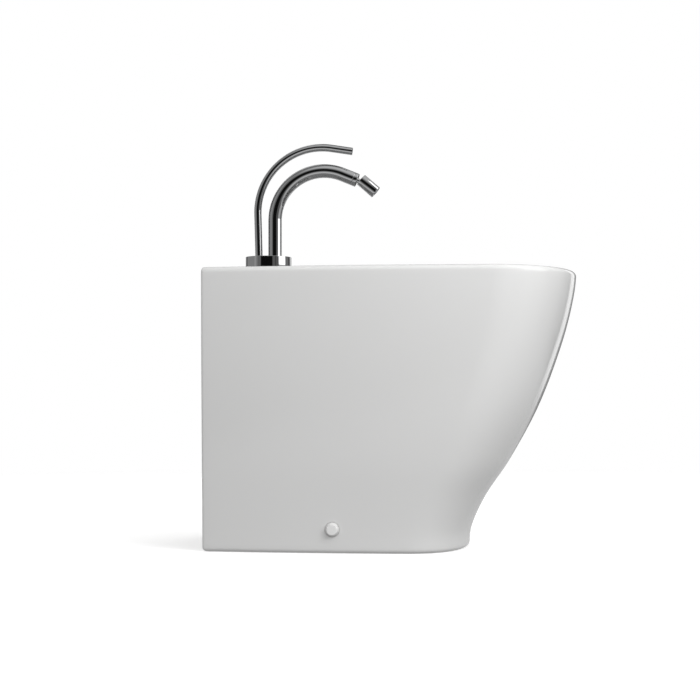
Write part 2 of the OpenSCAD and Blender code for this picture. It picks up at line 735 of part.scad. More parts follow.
module disc_carrier() from_wall() color(white_plastic) translate([lever_x, 0, carrier_bottom]) difference() {
    height = carrier_top - carrier_bottom;
    cylinder(r = disc_r, h = height, $fn = TURN_FN);
    // slot that the spindle's tip drives
    translate([0, 0, height / 2])
        cube([2 * (spindle_ball_r + fit), disc_r * 1.3, height + 2 * OVER], center = true);
}

module lever_guide() from_wall() color(white_plastic) translate([lever_x, 0, 0]) difference() {
    union() {
        translate([0, 0, plate_top - plate_t]) cylinder(r = guide_r, h = plate_t, $fn = TURN_FN);
        // two ears that carry the pivot pin
        translate([0, 0, plate_top - plate_t]) intersection() {
            cylinder(r = guide_r, h = guide_top - plate_top + plate_t, $fn = TURN_FN);
            both_sides() translate([-guide_r * 0.6, ear_inner, 0]) cube([guide_r * 1.2, guide_r, guide_top]);
        }
    }
    translate([0, 0, pivot_z]) rotate([90, 0, 0])
        cylinder(r = pivot_pin_r, h = 4 * guide_r, center = true, $fn = SMALL_FN);
    // slot for the spindle's swing
    slot_r = spindle_r + 2 * gap;
    translate([-slot_r, -slot_r, plate_top - plate_t - OVER])
        cube([2 * slot_r + disc_travel, 2 * slot_r, plate_t + 2 * OVER]);
}

module pivot_pin() from_wall() color(steel) translate([lever_x, 0, pivot_z]) rotate([90, 0, 0])
    cylinder(r = pivot_pin_r, h = 2 * guide_r - pin_short, center = true, $fn = SMALL_FN);

pin_short = 1;
pin_cover = 1.4;
rod_shoulder = 1.8;
rod_lap = 0.5;
rod_socket = pivot_drop - pivot_pin_r - pin_cover;
rod_spigot_r = lever_r - rod_shoulder;
spindle_root = 4;

module lever_ball() from_wall() color(chrome) translate([lever_x, 0, pivot_z]) difference() {
    intersection() {
        sphere(r = lever_ball_r, $fn = TURN_FN);
        translate([-lever_ball_r - OVER, -lever_ball_w / 2, -lever_ball_r - OVER])
            cube([2 * (lever_ball_r + OVER), lever_ball_w, lever_ball_r + OVER + pivot_drop]);
    }
    rotate([90, 0, 0]) cylinder(r = pivot_pin_r + fit, h = 4 * lever_ball_r, center = true, $fn = SMALL_FN);
    rotate([0, -lever_lean, 0]) translate([0, 0, pivot_drop - rod_socket])
        cylinder(r = rod_spigot_r, h = 2 * rod_socket, $fn = SMALL_FN);
    translate([0, 0, -2 * lever_ball_r]) cylinder(r = spindle_r, h = 2 * lever_ball_r - spindle_root, $fn = SMALL_FN);
}

module spindle() from_wall() color(steel) translate([lever_x, 0, pivot_z]) {
    translate([0, 0, -spindle_arm]) cylinder(r = spindle_r, h = spindle_arm - spindle_root, $fn = SMALL_FN);
    translate([0, 0, -spindle_arm]) sphere(r = spindle_ball_r, $fn = SMALL_FN);
}

/* Lever and spout: a straight stretch, a bend and a straight end, all in the plane y = 0 */

// Bending draws a tube this much thinner, and the stretches overlap this much
bend_thin = 0.05;
bend_lap = 0.05;

// Draws a bent round bar: rise along +Z, a bend towards +X, then the end
module bent_bar(radius, rise, bend_r, turn, end) {
    cylinder(r = radius, h = rise + bend_lap, $fn = TURN_FN);
    translate([bend_r, 0, rise]) {
        rotate([90, 0, 0]) rotate([0, 0, 180 - turn]) rotate_extrude(angle = turn, $fn = BEND_FN)
            translate([bend_r, 0]) circle(r = radius - bend_thin, $fn = TURN_FN);
        rotate([0, turn, 0]) translate([-bend_r, 0, -bend_lap])
            cylinder(r = radius, h = end + bend_lap, $fn = TURN_FN);
    }
}

// Places what is drawn at the end of such a bar, with +Z along it
module at_bar_end(rise, bend_r, turn, end)
    translate([bend_r, 0, rise]) rotate([0, turn, 0]) translate([-bend_r, 0, end]) children();

module lever_handle() from_wall() color(chrome) translate([lever_x, 0, pivot_z]) rotate([0, -lever_lean, 0]) {
    // the rod starts on the ball's flat, in which its spigot sits
    difference() {
        translate([0, 0, pivot_drop - rod_lap])
            bent_bar(lever_r, lever_rise + rod_lap, lever_bend_r, lever_turn, lever_tip - lever_tip_edge);
        rotate([0, lever_lean, 0]) translate([-lever_r * 2, -lever_r * 2, 0])
            cube([lever_r * 4, lever_r * 4, pivot_drop]);
    }
    translate([0, 0, pivot_drop - rod_lap])
        at_bar_end(lever_rise + rod_lap, lever_bend_r, lever_turn, lever_tip - lever_tip_edge)
            cylinder(r1 = lever_r, r2 = lever_r - lever_tip_edge, h = lever_tip_edge, $fn = TURN_FN);
    translate([0, 0, pivot_drop - rod_socket]) cylinder(r = rod_spigot_r, h = rod_socket + OVER, $fn = SMALL_FN);
}

spout_bore_r = spout_r - spout_wall;
tube_end = spout_end_len - collar_len;
collar_spigot = 7;
spigot_wall = 2.5;
bore_step_z = 2;
groove = 1.2;
ring_seal_h = 1.8;
seal_low = 1.5;
seal_pitch = 3.7;
seal_levels = [-spigot_len + seal_low, -spigot_len + seal_low + seal_pitch];

module spout_tube() from_wall() color(chrome) translate([spout_x, 0, base_top]) difference() {
    union() {
        bent_bar(spout_r, spout_rise, spout_bend_r, spout_turn, tube_end);
        translate([0, 0, -spigot_len]) cylinder(r = spigot_r, h = spigot_len + OVER, $fn = TURN_FN);
    }
    // waterway: narrow in the spigot, full size above
    translate([0, 0, -spigot_len - OVER])
        cylinder(r = spigot_r - spigot_wall, h = spigot_len + bore_step_z + 2 * OVER, $fn = TURN_FN);
    translate([0, 0, bore_step_z])
        bent_bar(spout_bore_r, spout_rise - bore_step_z, spout_bend_r, spout_turn, tube_end + OVER);
    // grooves of the two seals
    for (z = seal_levels) translate([0, 0, z]) tube(spigot_r + OVER, spigot_r - groove, ring_seal_h, SMALL_FN * 2);
    // flat seat for the locking screw's point
    translate([spigot_r - lock_depth, -2 * lock_r, -lock_drop - 2 * lock_r])
        cube([2 * lock_r, 4 * lock_r, 4 * lock_r]);
}

module spout_seals() from_wall() color(rubber) translate([spout_x, 0, base_top])
    for (z = seal_levels) translate([0, 0, z]) tube(socket_r, spigot_r - groove, ring_seal_h);

// Places what is drawn at the spout's very end, with +Z along the spout's end
module at_spout_end() translate([spout_x, 0, base_top])
    at_bar_end(spout_rise, spout_bend_r, spout_turn, spout_end_len) children();

module spout_collar() from_wall() color(chrome) at_spout_end() difference() {
    union() {
        translate([0, 0, -collar_len]) cylinder(r = spout_r, h = collar_len, $fn = TURN_FN);
        translate([0, 0, -collar_len - collar_spigot])
            cylinder(r = spout_bore_r, h = collar_spigot + OVER, $fn = TURN_FN);
    }
    translate([0, 0, -collar_len - collar_spigot - OVER])
        cylinder(r = neck_r + fit, h = collar_spigot + collar_len + 2 * OVER, $fn = SMALL_FN);
    translate([0, 0, -collar_len - collar_spigot - OVER])
        cylinder(r = stud_root_r - stud_shelf, h = collar_spigot + collar_len - stud_root_len + 2 * OVER, $fn = TURN_FN);
    // pocket that the stud turns in, behind a lip that keeps it
    translate([0, 0, -stud_root_len]) cylinder(r = stud_root_r + fit, h = stud_root_len - collar_lip, $fn = TURN_FN);
}

stud_root_r = 5.5;
stud_root_len = 9;
stud_shelf = 1;
collar_lip = 1.2;

// Ball on a drilled neck; the nozzle swivels on the ball
module ball_stud() from_wall() color(chrome) at_spout_end() difference() {
    union() {
        translate([0, 0, -stud_root_len])
            cylinder(r = stud_root_r, h = stud_root_len - collar_lip - fit, $fn = TURN_FN);
        translate([0, 0, -stud_root_len / 2]) cylinder(r = neck_r, h = stud_root_len / 2 + ball_reach, $fn = SMALL_FN);
        translate([0, 0, ball_reach]) sphere(r = nozzle_ball_r, $fn = TURN_FN);
    }
    translate([0, 0, -stud_root_len - OVER])
        cylinder(r = neck_bore_r, h = stud_root_len + ball_reach + nozzle_ball_r + 2 * OVER, $fn = SMALL_FN);
}

// Places what is drawn at the ball's centre, with +Z along the nozzle
module at_nozzle() at_spout_end() translate([0, 0, ball_reach]) rotate([0, nozzle_dip, 0]) children();

nozzle_wall = 1.6;
nozzle_bore_r = nozzle_r - nozzle_wall;
// Opening that lets the neck lean as far as the cone
mouth_r = ball_depth * tan(nozzle_cone) + neck_r / cos(nozzle_cone) + gap;
ring_len = 6.5;
ring_lap = 0.6;
ball_seal_low = 3.2;
ball_seal_high = 7.5;
ball_seal_hole = 4.4;
aerator_sunk = 0.8;
aerator_skin = 1;
aerator_face = 1.5;

module nozzle_body() from_wall() color(chrome) at_nozzle() difference() {
    translate([0, 0, -ball_depth]) cylinder(r = nozzle_r, h = nozzle_len, $fn = TURN_FN);
    translate([0, 0, -ball_depth - OVER]) cylinder(r = nozzle_bore_r + ring_lap, h = ring_len + OVER, $fn = TURN_FN);
    translate([0, 0, -ball_depth + ring_len - OVER])
        cylinder(r = nozzle_bore_r, h = nozzle_len - ring_len + 2 * OVER, $fn = TURN_FN);
}

// Threaded ring that keeps the ball in the nozzle
module nozzle_ring() from_wall() color(chrome) at_nozzle() difference() {
    translate([0, 0, -ball_depth]) cylinder(r = nozzle_bore_r + ring_lap, h = ring_len, $fn = TURN_FN);
    translate([0, 0, -ball_depth - OVER])
        cylinder(r1 = mouth_r + OVER * tan(nozzle_cone), r2 = mouth_r - (ring_len + OVER) * tan(nozzle_cone),
            h = ring_len + 2 * OVER, $fn = TURN_FN);
    sphere(r = nozzle_ball_r + gap, $fn = TURN_FN);
}

// Soft seat on the far side of the ball
module ball_seal() from_wall() color(rubber) at_nozzle() difference() {
    translate([0, 0, ball_seal_low]) cylinder(r = nozzle_bore_r, h = ball_seal_high - ball_seal_low, $fn = TURN_FN);
    cylinder(r = ball_seal_hole, h = ball_seal_high + OVER, $fn = SMALL_FN);
    sphere(r = nozzle_ball_r + gap, $fn = TURN_FN);
}

// Flow former: a cup with a pierced face, flush in the nozzle's mouth
module aerator() from_wall() color(grey_plastic) at_nozzle() {
    length = nozzle_len - ball_depth - aerator_sunk - ball_seal_high;
    hole_r = nozzle_bore_r * 0.1;
    pitch_r = nozzle_bore_r * 0.33;
    translate([0, 0, ball_seal_high]) difference() {
        cylinder(r = nozzle_bore_r, h = length, $fn = TURN_FN);
        translate([0, 0, -OVER])
            cylinder(r = nozzle_bore_r - aerator_skin, h = length - aerator_face + OVER, $fn = TURN_FN);
        cylinder(r = hole_r, h = length + OVER, $fn = 16);
        for (ring = [1, 2], k = [0 : 6 * ring - 1]) rotate([0, 0, 60 / ring * k]) translate([ring * pitch_r, 0, 0])
            cylinder(r = hole_r, h = length + OVER, $fn = 16);
    }
}

/* Overflow and waste */

module overflow_ring() from_wall() color(chrome)
    translate([overflow_seat_x, 0, overflow_z]) rotate([0, 90, 0]) rotate_extrude($fn = TURN_FN) {
        lip = 2.4;
        edge = 1;
        sleeve = 8;
        inner = overflow_r - 2 * edge;
        polygon([[inner, -sleeve], [overflow_r - slip, -sleeve], [overflow_r - slip, 0], [overflow_ring_r, 0],
            [overflow_ring_r, lip - edge], [overflow_ring_r - edge, lip], [inner + edge, lip], [inner, lip - edge]]);
    }

flange_seal_t = 1.5;
flange_z = bowl_z + flange_seal_t;
flange_top = flange_z + flange_t;
waste_bore_r = waste_r - waste_wall;
neck_in = 6;
body_top = flange_z;
body_bottom = bowl_z - waste_len;
spider_drop = 26;
spider_t = 6;
spider_z = waste_under - spider_drop;
boss_wall = 4;
web_t = 2.4;
stem_tail = 5;
nut_bottom = waste_under - 2 * soft_t - waste_nut_t;
// Relief between the nut's thread and the trap's
relief_h = 2;
relief_deep = 0.7;

module waste_flange() from_wall() color(chrome) translate([drain_x, 0, flange_z]) rotate_extrude($fn = TURN_FN) {
    thread_r = waste_bore_r;
    hole = thread_r - 2;
    edge = 1;
    polygon([[hole, -neck_in], [thread_r, -neck_in], [thread_r, 0], [flange_r - edge / 2, 0], [flange_r, edge / 2],
        [flange_r - edge, flange_t - edge], [flange_r - 3 * edge, flange_t], [hole + 3 * edge, flange_t],
        [hole, flange_t - 2.5 * edge]]);
}

module flange_seal() from_wall() color(rubber)
    translate([drain_x, 0, bowl_z]) tube(flange_r - slip, waste_r + slip, flange_seal_t);

module waste_body() from_wall() color(chrome) translate([drain_x, 0, 0]) difference() {
    union() {
        translate([0, 0, body_bottom]) tube(waste_r, waste_bore_r, body_top - body_bottom);
        // crossbar with the boss that guides the stem
        translate([0, 0, spider_z]) cylinder(r = stem_r + boss_wall, h = spider_t, $fn = TURN_FN);
        intersection() {
            translate([0, 0, spider_z]) cylinder(r = waste_bore_r + waste_wall / 2, h = spider_t, $fn = TURN_FN);
            for (turn = [0, 60, 120]) rotate([0, 0, turn])
                translate([-waste_r, -web_t / 2, spider_z]) cube([2 * waste_r, web_t, spider_t]);
        }
    }
    translate([0, 0, nut_bottom - 2 * relief_h]) tube(waste_r + OVER, waste_r - relief_deep, relief_h);
    translate([0, 0, spider_z - OVER]) cylinder(r = stem_r + slip, h = spider_t + 2 * OVER, $fn = SMALL_FN);
    // slots for the water from the overflow
    for (turn = [0, 90]) rotate([0, 0, turn]) translate([0, 0, duct_low_z]) rotate([0, 90, 0])
        cylinder(r = duct_low_r * 0.7, h = 4 * waste_r, center = true, $fn = SMALL_FN);
}

module waste_gasket() from_wall() color(rubber)
    translate([drain_x, 0, waste_under - 2 * soft_t]) tube(drain_seat_r, waste_r + slip / 2, 2 * soft_t);

module waste_nut() from_wall() color(brass)
    translate([drain_x, 0, nut_bottom]) hex_nut(waste_nut_af, waste_r, waste_nut_t);

// The plug is drawn raised; pushed down it rests just over the flange
plug_z = flange_top + gap + plug_travel;

plug_edge = 1;
plug_seal_t = 1.2;
plug_seal_w = 3;
plug_seal_r = waste_bore_r + plug_seal_w;
stem_step = 1;
stem_in = plug_t - plug_edge;

module waste_plug() from_wall() color(chrome) translate([drain_x, 0, plug_z]) difference() {
    rotate_extrude($fn = TURN_FN) polygon(concat([[0, 0], [plug_r - plug_edge, 0], [plug_r, plug_edge]],
        [for (k = [0 : 8]) [plug_r * (1 - k / 8), plug_t + plug_crown * (1 - (1 - k / 8)^2)]]));
    translate([0, 0, -plug_seal_t])
        tube(plug_seal_r + plug_seal_w / 2, plug_seal_r - plug_seal_w / 2, 2 * plug_seal_t);
    translate([0, 0, -OVER]) cylinder(r = stem_r - stem_step, h = stem_in + OVER, $fn = SMALL_FN);
}

module plug_seal() from_wall() color(rubber)
    translate([drain_x, 0, plug_z]) tube(plug_seal_r + plug_seal_w / 2, plug_seal_r - plug_seal_w / 2, plug_seal_t);

module plug_stem() from_wall() color(steel) translate([drain_x, 0, 0]) {
    bottom = spider_z - stem_tail;
    translate([0, 0, bottom]) cylinder(r = stem_r, h = plug_z - bottom, $fn = SMALL_FN);
    translate([0, 0, plug_z - OVER]) cylinder(r = stem_r - stem_step, h = stem_in + OVER, $fn = SMALL_FN);
}

spring_low = spider_z + spider_t;
spring_high = plug_z - gap;

// Helix of round wire from the spider to the plug, as rings of points
module plug_spring() from_wall() color(steel) translate([drain_x, 0, 0]) {
    sides = 6;
    steps = 14 * spring_turns;
    wire_r = spring_wire / 2;
    rise = spring_high - spring_low - spring_wire;
    lean = atan2(rise / spring_turns, 2 * PI * spring_r);
    rings = [for (k = [0 : steps])
        let (a = 360 * spring_turns * k / steps, z = spring_low + wire_r + rise * k / steps)
        [for (s = [0 : sides - 1])
            let (b = 360 * s / sides, out = wire_r * cos(b), up = wire_r * sin(b))
            [(spring_r + out) * cos(a) + up * sin(lean) * sin(a),
                (spring_r + out) * sin(a) - up * sin(lean) * cos(a), z + up * cos(lean)]]];
    points = [for (ring = rings) each ring];
    skin = [for (k = [0 : steps - 1], s = [0 : sides - 1])
        let (next = (s + 1) % sides, low = k * sides, high = (k + 1) * sides)
        each [[low + next, high + next, high + s], [low + next, high + s, low + s]]];
    last = steps * sides;
    ends = [for (s = [1 : sides - 2]) each [[0, s + 1, s], [last, last + s, last + s + 1]]];
    polyhedron(points = points, faces = concat(skin, ends), convexity = 12);
}

ceramic_body();
floor_brackets();
bracket_blocks();
fixing_screws();
screw_sleeves();
screw_caps();
tap_base();
base_seal();
shank_gasket();
shank_washer();
shank_nut();
cartridge_body();
retaining_ring();
cartridge_seal();
fixed_disc();
moving_disc();
disc_carrier();
lever_guide();
pivot_pin();
lever_ball();
spindle();
lever_handle();
spout_tube();
spout_seals();
spout_screw();
spout_collar();
ball_stud();
nozzle_body();
nozzle_ring();
ball_seal();
aerator();
overflow_ring();
waste_flange();
flange_seal();
waste_body();
waste_gasket();
waste_nut();
waste_plug();
plug_stem();
plug_spring();
plug_seal();
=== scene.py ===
"""Looks of a floor standing bidet with a one-hole stick-lever tap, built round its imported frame."""

import logging
import math
from contextlib import contextmanager
from dataclasses import dataclass, field
from enum import Enum
from functools import cached_property
from typing import Any, Iterable, Iterator, Sequence

import bmesh
import bpy
import numpy as np
from mathutils import Matrix, Vector


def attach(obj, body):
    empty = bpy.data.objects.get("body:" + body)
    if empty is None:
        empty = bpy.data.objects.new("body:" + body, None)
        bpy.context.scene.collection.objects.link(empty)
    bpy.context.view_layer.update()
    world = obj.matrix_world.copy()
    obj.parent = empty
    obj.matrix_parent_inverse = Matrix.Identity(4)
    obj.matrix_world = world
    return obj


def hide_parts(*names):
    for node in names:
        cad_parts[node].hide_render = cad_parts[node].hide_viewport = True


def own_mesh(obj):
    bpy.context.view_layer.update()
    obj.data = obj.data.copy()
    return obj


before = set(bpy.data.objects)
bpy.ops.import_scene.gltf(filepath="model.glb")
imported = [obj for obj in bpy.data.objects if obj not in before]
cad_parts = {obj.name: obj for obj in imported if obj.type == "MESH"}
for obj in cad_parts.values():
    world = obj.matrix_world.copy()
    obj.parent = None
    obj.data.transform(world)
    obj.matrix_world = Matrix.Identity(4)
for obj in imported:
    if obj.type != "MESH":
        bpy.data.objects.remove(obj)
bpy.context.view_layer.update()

LOG = logging.getLogger("bidet")
MM = 0.001
# Distance from the wall to the frame's origin, in millimetres
WALL_TO_ORIGIN = 272.5
# Points closer than this, in metres, are one point
TINY = 1e-6
# Edges shorter than this, in metres, are closed up in copies of CAD nodes and after a cut
SHORT = 1e-5
# Edges sharper than this, in degrees, are rounded where a piece asks for it, and are shaded sharp
CREASE = 32.0
# The same for the shading of threaded pieces
THREAD_CREASE = 35.0
# The same for the rounding of bent bars
BAR_CREASE = 50.0
# Faces round a turned piece
ROUND = 96
# How far a cutting tool runs past the surface that it opens, and how far joined shapes lap, in millimetres
CLEAR = 5.0
LAP = 1.0

Point2 = tuple[float, float]
Colour = tuple[float, float, float]


# ---------------------------------------------------------------- placing


def from_wall(x: float, y: float = 0.0, z: float = 0.0) -> Matrix:
    """Place of a point counted in millimetres from the wall, the mid plane and the floor."""
    return Matrix.Translation((x - WALL_TO_ORIGIN, y, z))


def along(z: float) -> Matrix:
    """Move along the local Z axis in millimetres."""
    return Matrix.Translation((0.0, 0.0, z))


def turned(angle: float, axis: str) -> Matrix:
    """Turn by an angle in degrees about a frame axis."""
    return Matrix.Rotation(math.radians(angle), 4, axis)


def half_facet(segments: int) -> Matrix:
    """Turn by half a facet, which keeps a cutting tool's corners off the mid plane."""
    return turned(180 / segments, "Z")


def lerp(start: float, end: float, share: float) -> float:
    """Value at a share of the way between two numbers."""
    return start + (end - start) * share


# ---------------------------------------------------------------- meshes


def placed(name: str, data: Any) -> bpy.types.Object:
    """Object that holds a mesh, lamp or camera, linked to the scene."""
    item = bpy.data.objects.new(name, data)
    bpy.context.scene.collection.objects.link(item)
    return item


@contextmanager
def editing(mesh: bpy.types.Mesh) -> Iterator[bmesh.types.BMesh]:
    """Open a mesh for editing, and write it back at the end.

    Args:
        mesh: the mesh.

    Yields:
        Its points, edges and faces.
    """
    shape = bmesh.new()
    shape.from_mesh(mesh)
    yield shape
    shape.to_mesh(mesh)
    shape.free()


def make_object(
    name: str, vertices: Sequence, faces: Sequence, place: Matrix | None = None
) -> bpy.types.Object:
    """Make a closed mesh object from points in millimetres.

    Args:
        name: the object's name.
        vertices: points in millimetres.
        faces: vertex numbers of each face.
        place: turn and move in millimetres, applied to the points.

    Returns:
        The object, with its place in its mesh, in metres.
    """
    mesh = bpy.data.meshes.new(name)
    mesh.from_pydata([tuple(v) for v in vertices], [], [tuple(f) for f in faces])
    if place is not None:
        mesh.transform(place)
    mesh.transform(Matrix.Scale(MM, 4))
    with editing(mesh) as shape:
        bmesh.ops.remove_doubles(shape, verts=shape.verts, dist=TINY)
        bmesh.ops.recalc_face_normals(shape, faces=shape.faces)
    return placed(name, mesh)


def smooth(item: bpy.types.Object, angle: float = CREASE) -> bpy.types.Object:
    """Shade an object smooth.

    Args:
        item: the object.
        angle: edges sharper than this, in degrees, stay sharp.

    Returns:
        The object.
    """
    item.data.shade_smooth()
    item.data.set_sharp_from_angle(angle=math.radians(angle))
    return item


def finished(item: bpy.types.Object) -> bpy.types.Object:
    """Apply an object's modifiers to its mesh and remove them.

    Args:
        item: the object.

    Returns:
        The object.
    """
    graph = bpy.context.evaluated_depsgraph_get()
    graph.update()
    mesh = bpy.data.meshes.new_from_object(item.evaluated_get(graph))
    item.modifiers.clear()
    old, item.data = item.data, mesh
    name = old.name
    bpy.data.meshes.remove(old)
    mesh.name = name
    return item


def cleaned(item: bpy.types.Object) -> bpy.types.Object:
    """Close up the slivers and very short edges that a cut or a rounding leaves."""
    with editing(item.data) as shape:
        bmesh.ops.dissolve_degenerate(shape, edges=shape.edges, dist=SHORT)
    return item


def soften(item: bpy.types.Object, width: float, steps: int = 3, angle: float = CREASE) -> bpy.types.Object:
    """Add a rounding of the sharp edges, as a modifier.

    Args:
        item: the object.
        width: width of the rounding in millimetres.
        steps: faces across it.
        angle: edges sharper than this, in degrees, are rounded.

    Returns:
        The object.
    """
    edges = item.modifiers.new("edges", "BEVEL")
    edges.width = width * MM
    edges.segments = steps
    edges.limit_method = "ANGLE"
    edges.angle_limit = math.radians(angle)
    return item


class Cut(Enum):
    """What a tool does to a body."""

    AWAY = "DIFFERENCE"
    ADD = "UNION"


def carve(body: bpy.types.Object, tools: Iterable[bpy.types.Object], cut: Cut = Cut.AWAY) -> bpy.types.Object:
    """Cut tools out of a body, or add them to it, one by one, and delete them.

    Args:
        body: the mesh that is cut.
        tools: closed meshes.
        cut: whether they are taken away or added.

    Returns:
        The body.
    """
    for tool in tools:
        modifier = body.modifiers.new("cut", "BOOLEAN")
        modifier.operation = cut.value
        modifier.solver = "EXACT"
        modifier.object = tool
        cleaned(finished(body))
        bpy.data.objects.remove(tool)
    return body


def joined(name: str, parts: Sequence[bpy.types.Object]) -> bpy.types.Object:
    """Put several meshes into one object and delete them.

    Args:
        name: the new object's name.
        parts: the objects.

    Returns:
        The new object.
    """
    mesh = bpy.data.meshes.new(name)
    with editing(mesh) as shape:
        for part in parts:
            shape.from_mesh(part.data)
    for part in parts:
        bpy.data.objects.remove(part)
    return placed(name, mesh)


def rounded(
    profile: Sequence[Point2], radii: Sequence[float], steps: int = 5, closed: bool = False
) -> list[Point2]:
    """Round the corners of a profile.

    Args:
        profile: corner points, in millimetres.
        radii: the rounding at each corner, 0 for a sharp one.
        steps: points along each rounding.
        closed: whether the last point joins the first.

    Returns:
        The profile with its corners replaced by arcs, each on less than half of its sides.
    """
    under_half = 0.49
    made: list[Point2] = []
    count = len(profile)
    for i, (point, radius) in enumerate(zip(profile, radii)):
        at_end = not closed and i in (0, count - 1)
        if radius <= 0 or at_end:
            made.append(point)
            continue
        here = Vector(point)
        back = Vector(profile[i - 1]) - here
        ahead = Vector(profile[(i + 1) % count]) - here
        half = back.angle(ahead) / 2
        reach = min(radius / math.tan(half), back.length * under_half, ahead.length * under_half)
        start, end = here + back.normalized() * reach, here + ahead.normalized() * reach
        middle = here + (back.normalized() + ahead.normalized()).normalized() * (reach / math.cos(half))
        size = (start - middle).length
        first = math.atan2(start.y - middle.y, start.x - middle.x)
        swing = math.atan2(end.y - middle.y, end.x - middle.x) - first
        swing = (swing + math.pi) % (2 * math.pi) - math.pi
        for k in range(steps + 1):
            angle = first + swing * k / steps
            made.append((middle.x + size * math.cos(angle), middle.y + size * math.sin(angle)))
    return made


def lathe(
    name: str, profile: Sequence[Point2], place: Matrix, closed: bool = False, segments: int = ROUND
) -> bpy.types.Object:
    """Turn a profile about the local Z axis.

    Args:
        name: the object's name.
        profile: (radius, height) points in millimetres.
        place: where the axis stands.
        closed: whether the profile is a loop clear of the axis.
        segments: faces round the axis.

    Returns:
        A closed, smooth-shaded mesh object.
    """
    vertices: list[tuple[float, float, float]] = []
    rows: list[list[int]] = []
    for radius, height in profile:
        if radius < TINY:
            rows.append([len(vertices)] * segments)
            vertices.append((0.0, 0.0, height))
            continue
        rows.append(list(range(len(vertices), len(vertices) + segments)))
        for k in range(segments):
            angle = 2 * math.pi * k / segments
            vertices.append((radius * math.cos(angle), radius * math.sin(angle), height))
    faces = []
    for low, high in zip(rows, rows[1:] + (rows[:1] if closed else [])):
        for k in range(segments):
            n = (k + 1) % segments
            face = list(dict.fromkeys([low[k], low[n], high[n], high[k]]))
            if len(face) > 2:
                faces.append(face)
    return smooth(make_object(name, vertices, faces, place))


def rod(radius: float, low: float, high: float, place: Matrix, segments: int = 64) -> bpy.types.Object:
    """A plain closed cylinder for cutting, with its corners off the mid plane.

    Args:
        radius: its radius in millimetres.
        low: the local height of its lower end.
        high: the local height of its upper end.
        place: where its axis stands.
        segments: faces round the axis.

    Returns:
        The tool.
    """
    profile = [(0, low), (radius, low), (radius, high), (0, high)]
    return lathe("tool", profile, place @ half_facet(segments), segments=segments)


def block(low: Vector, high: Vector, place: Matrix) -> bpy.types.Object:
    """A plain closed box for cutting.

    Args:
        low: its lowest corner in millimetres.
        high: its highest corner.
        place: where its local axes stand.

    Returns:
        The tool.
    """
    corners = [(x, y, z) for x in (low.x, high.x) for y in (low.y, high.y) for z in (low.z, high.z)]
    faces = [(0, 1, 3, 2), (4, 6, 7, 5), (0, 4, 5, 1), (2, 3, 7, 6), (0, 2, 6, 4), (1, 5, 7, 3)]
    return make_object("tool", corners, faces, place)


def refined(node: str, rounding: float) -> bpy.types.Object:
    """Copy a CAD node's shape and break its sharp edges.

    Args:
        node: the CAD node.
        rounding: rounding of the edges in millimetres, or 0 for none.

    Returns:
        The new piece, named after the node.
    """
    name, flat = node + "_made", math.radians(0.5)
    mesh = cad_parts[node].data.copy()
    mesh.name = name
    mesh.materials.clear()
    with editing(mesh) as shape:
        bmesh.ops.remove_doubles(shape, verts=shape.verts, dist=SHORT)
        bmesh.ops.dissolve_limit(
            shape, angle_limit=flat, verts=shape.verts, edges=shape.edges, delimit={"NORMAL"}
        )
    item = placed(name, mesh)
    if rounding:
        finished(soften(item, rounding))
    return smooth(item)


# ---------------------------------------------------------------- node trees


class Tree:
    """A node tree that is built node by node."""

    def __init__(self, tree: bpy.types.NodeTree) -> None:
        """Work on an existing tree."""
        self.tree = tree

    def wire(self, node: Any, links: dict[str | int, Any]) -> Any:
        """Fill inputs of a node.

        Args:
            node: the node.
            links: sockets or values by the input's name or number.

        Returns:
            The node.
        """
        for key, value in links.items():
            if isinstance(value, bpy.types.NodeSocket):
                self.tree.links.new(value, node.inputs[key])
            else:
                node.inputs[key].default_value = value
        return node

    def add(self, kind: str, links: dict[str | int, Any] | None = None, **settings: Any) -> Any:
        """Add a node.

        Args:
            kind: the node's type.
            links: sockets or values for its inputs.
            settings: properties of the node.

        Returns:
            The node.
        """
        node = self.tree.nodes.new(kind)
        for key, value in settings.items():
            setattr(node, key, value)
        return self.wire(node, links or {})

    def math(self, operation: str, *values: Any, clamp: bool = False) -> Any:
        """Result of a math node."""
        links = dict(enumerate(values))
        return self.add("ShaderNodeMath", links, operation=operation, use_clamp=clamp).outputs[0]


class ShapeTree(Tree):
    """A geometry node tree."""

    def __init__(self, name: str) -> None:
        """Start an empty tree with its output."""
        super().__init__(bpy.data.node_groups.new(name, "GeometryNodeTree"))
        self.tree.interface.new_socket("Geometry", in_out="OUTPUT", socket_type="NodeSocketGeometry")
        self.source = self.tree.nodes.new("NodeGroupInput")

    def entry(self, name: str, kind: str = "NodeSocketFloat") -> Any:
        """Add a named input and return its socket."""
        self.tree.interface.new_socket(name, in_out="INPUT", socket_type=kind)
        return self.source.outputs[name]

    def sweep(self, path: Any, sides: Any, radius: Any, caps: Any) -> Any:
        """Mesh of a round profile swept along a curve.

        Args:
            path: the curve.
            sides: faces round it.
            radius: the profile's radius.
            caps: whether the ends are closed.

        Returns:
            The mesh's socket.
        """
        ring = self.add("GeometryNodeCurvePrimitiveCircle", {"Resolution": sides, "Radius": radius})
        links = {"Curve": path, "Profile Curve": ring.outputs[0], "Fill Caps": caps}
        return self.add("GeometryNodeCurveToMesh", links).outputs[0]

    def end(self, geometry: Any) -> bpy.types.NodeTree:
        """Finish the tree: real meshes, one material, then the output."""
        material = self.entry("Material", "NodeSocketMaterial")
        real = self.add("GeometryNodeRealizeInstances", {0: geometry})
        dressed = self.add("GeometryNodeSetMaterial", {"Geometry": real.outputs[0], "Material": material})
        self.add("NodeGroupOutput", {0: dressed.outputs[0]})
        return self.tree


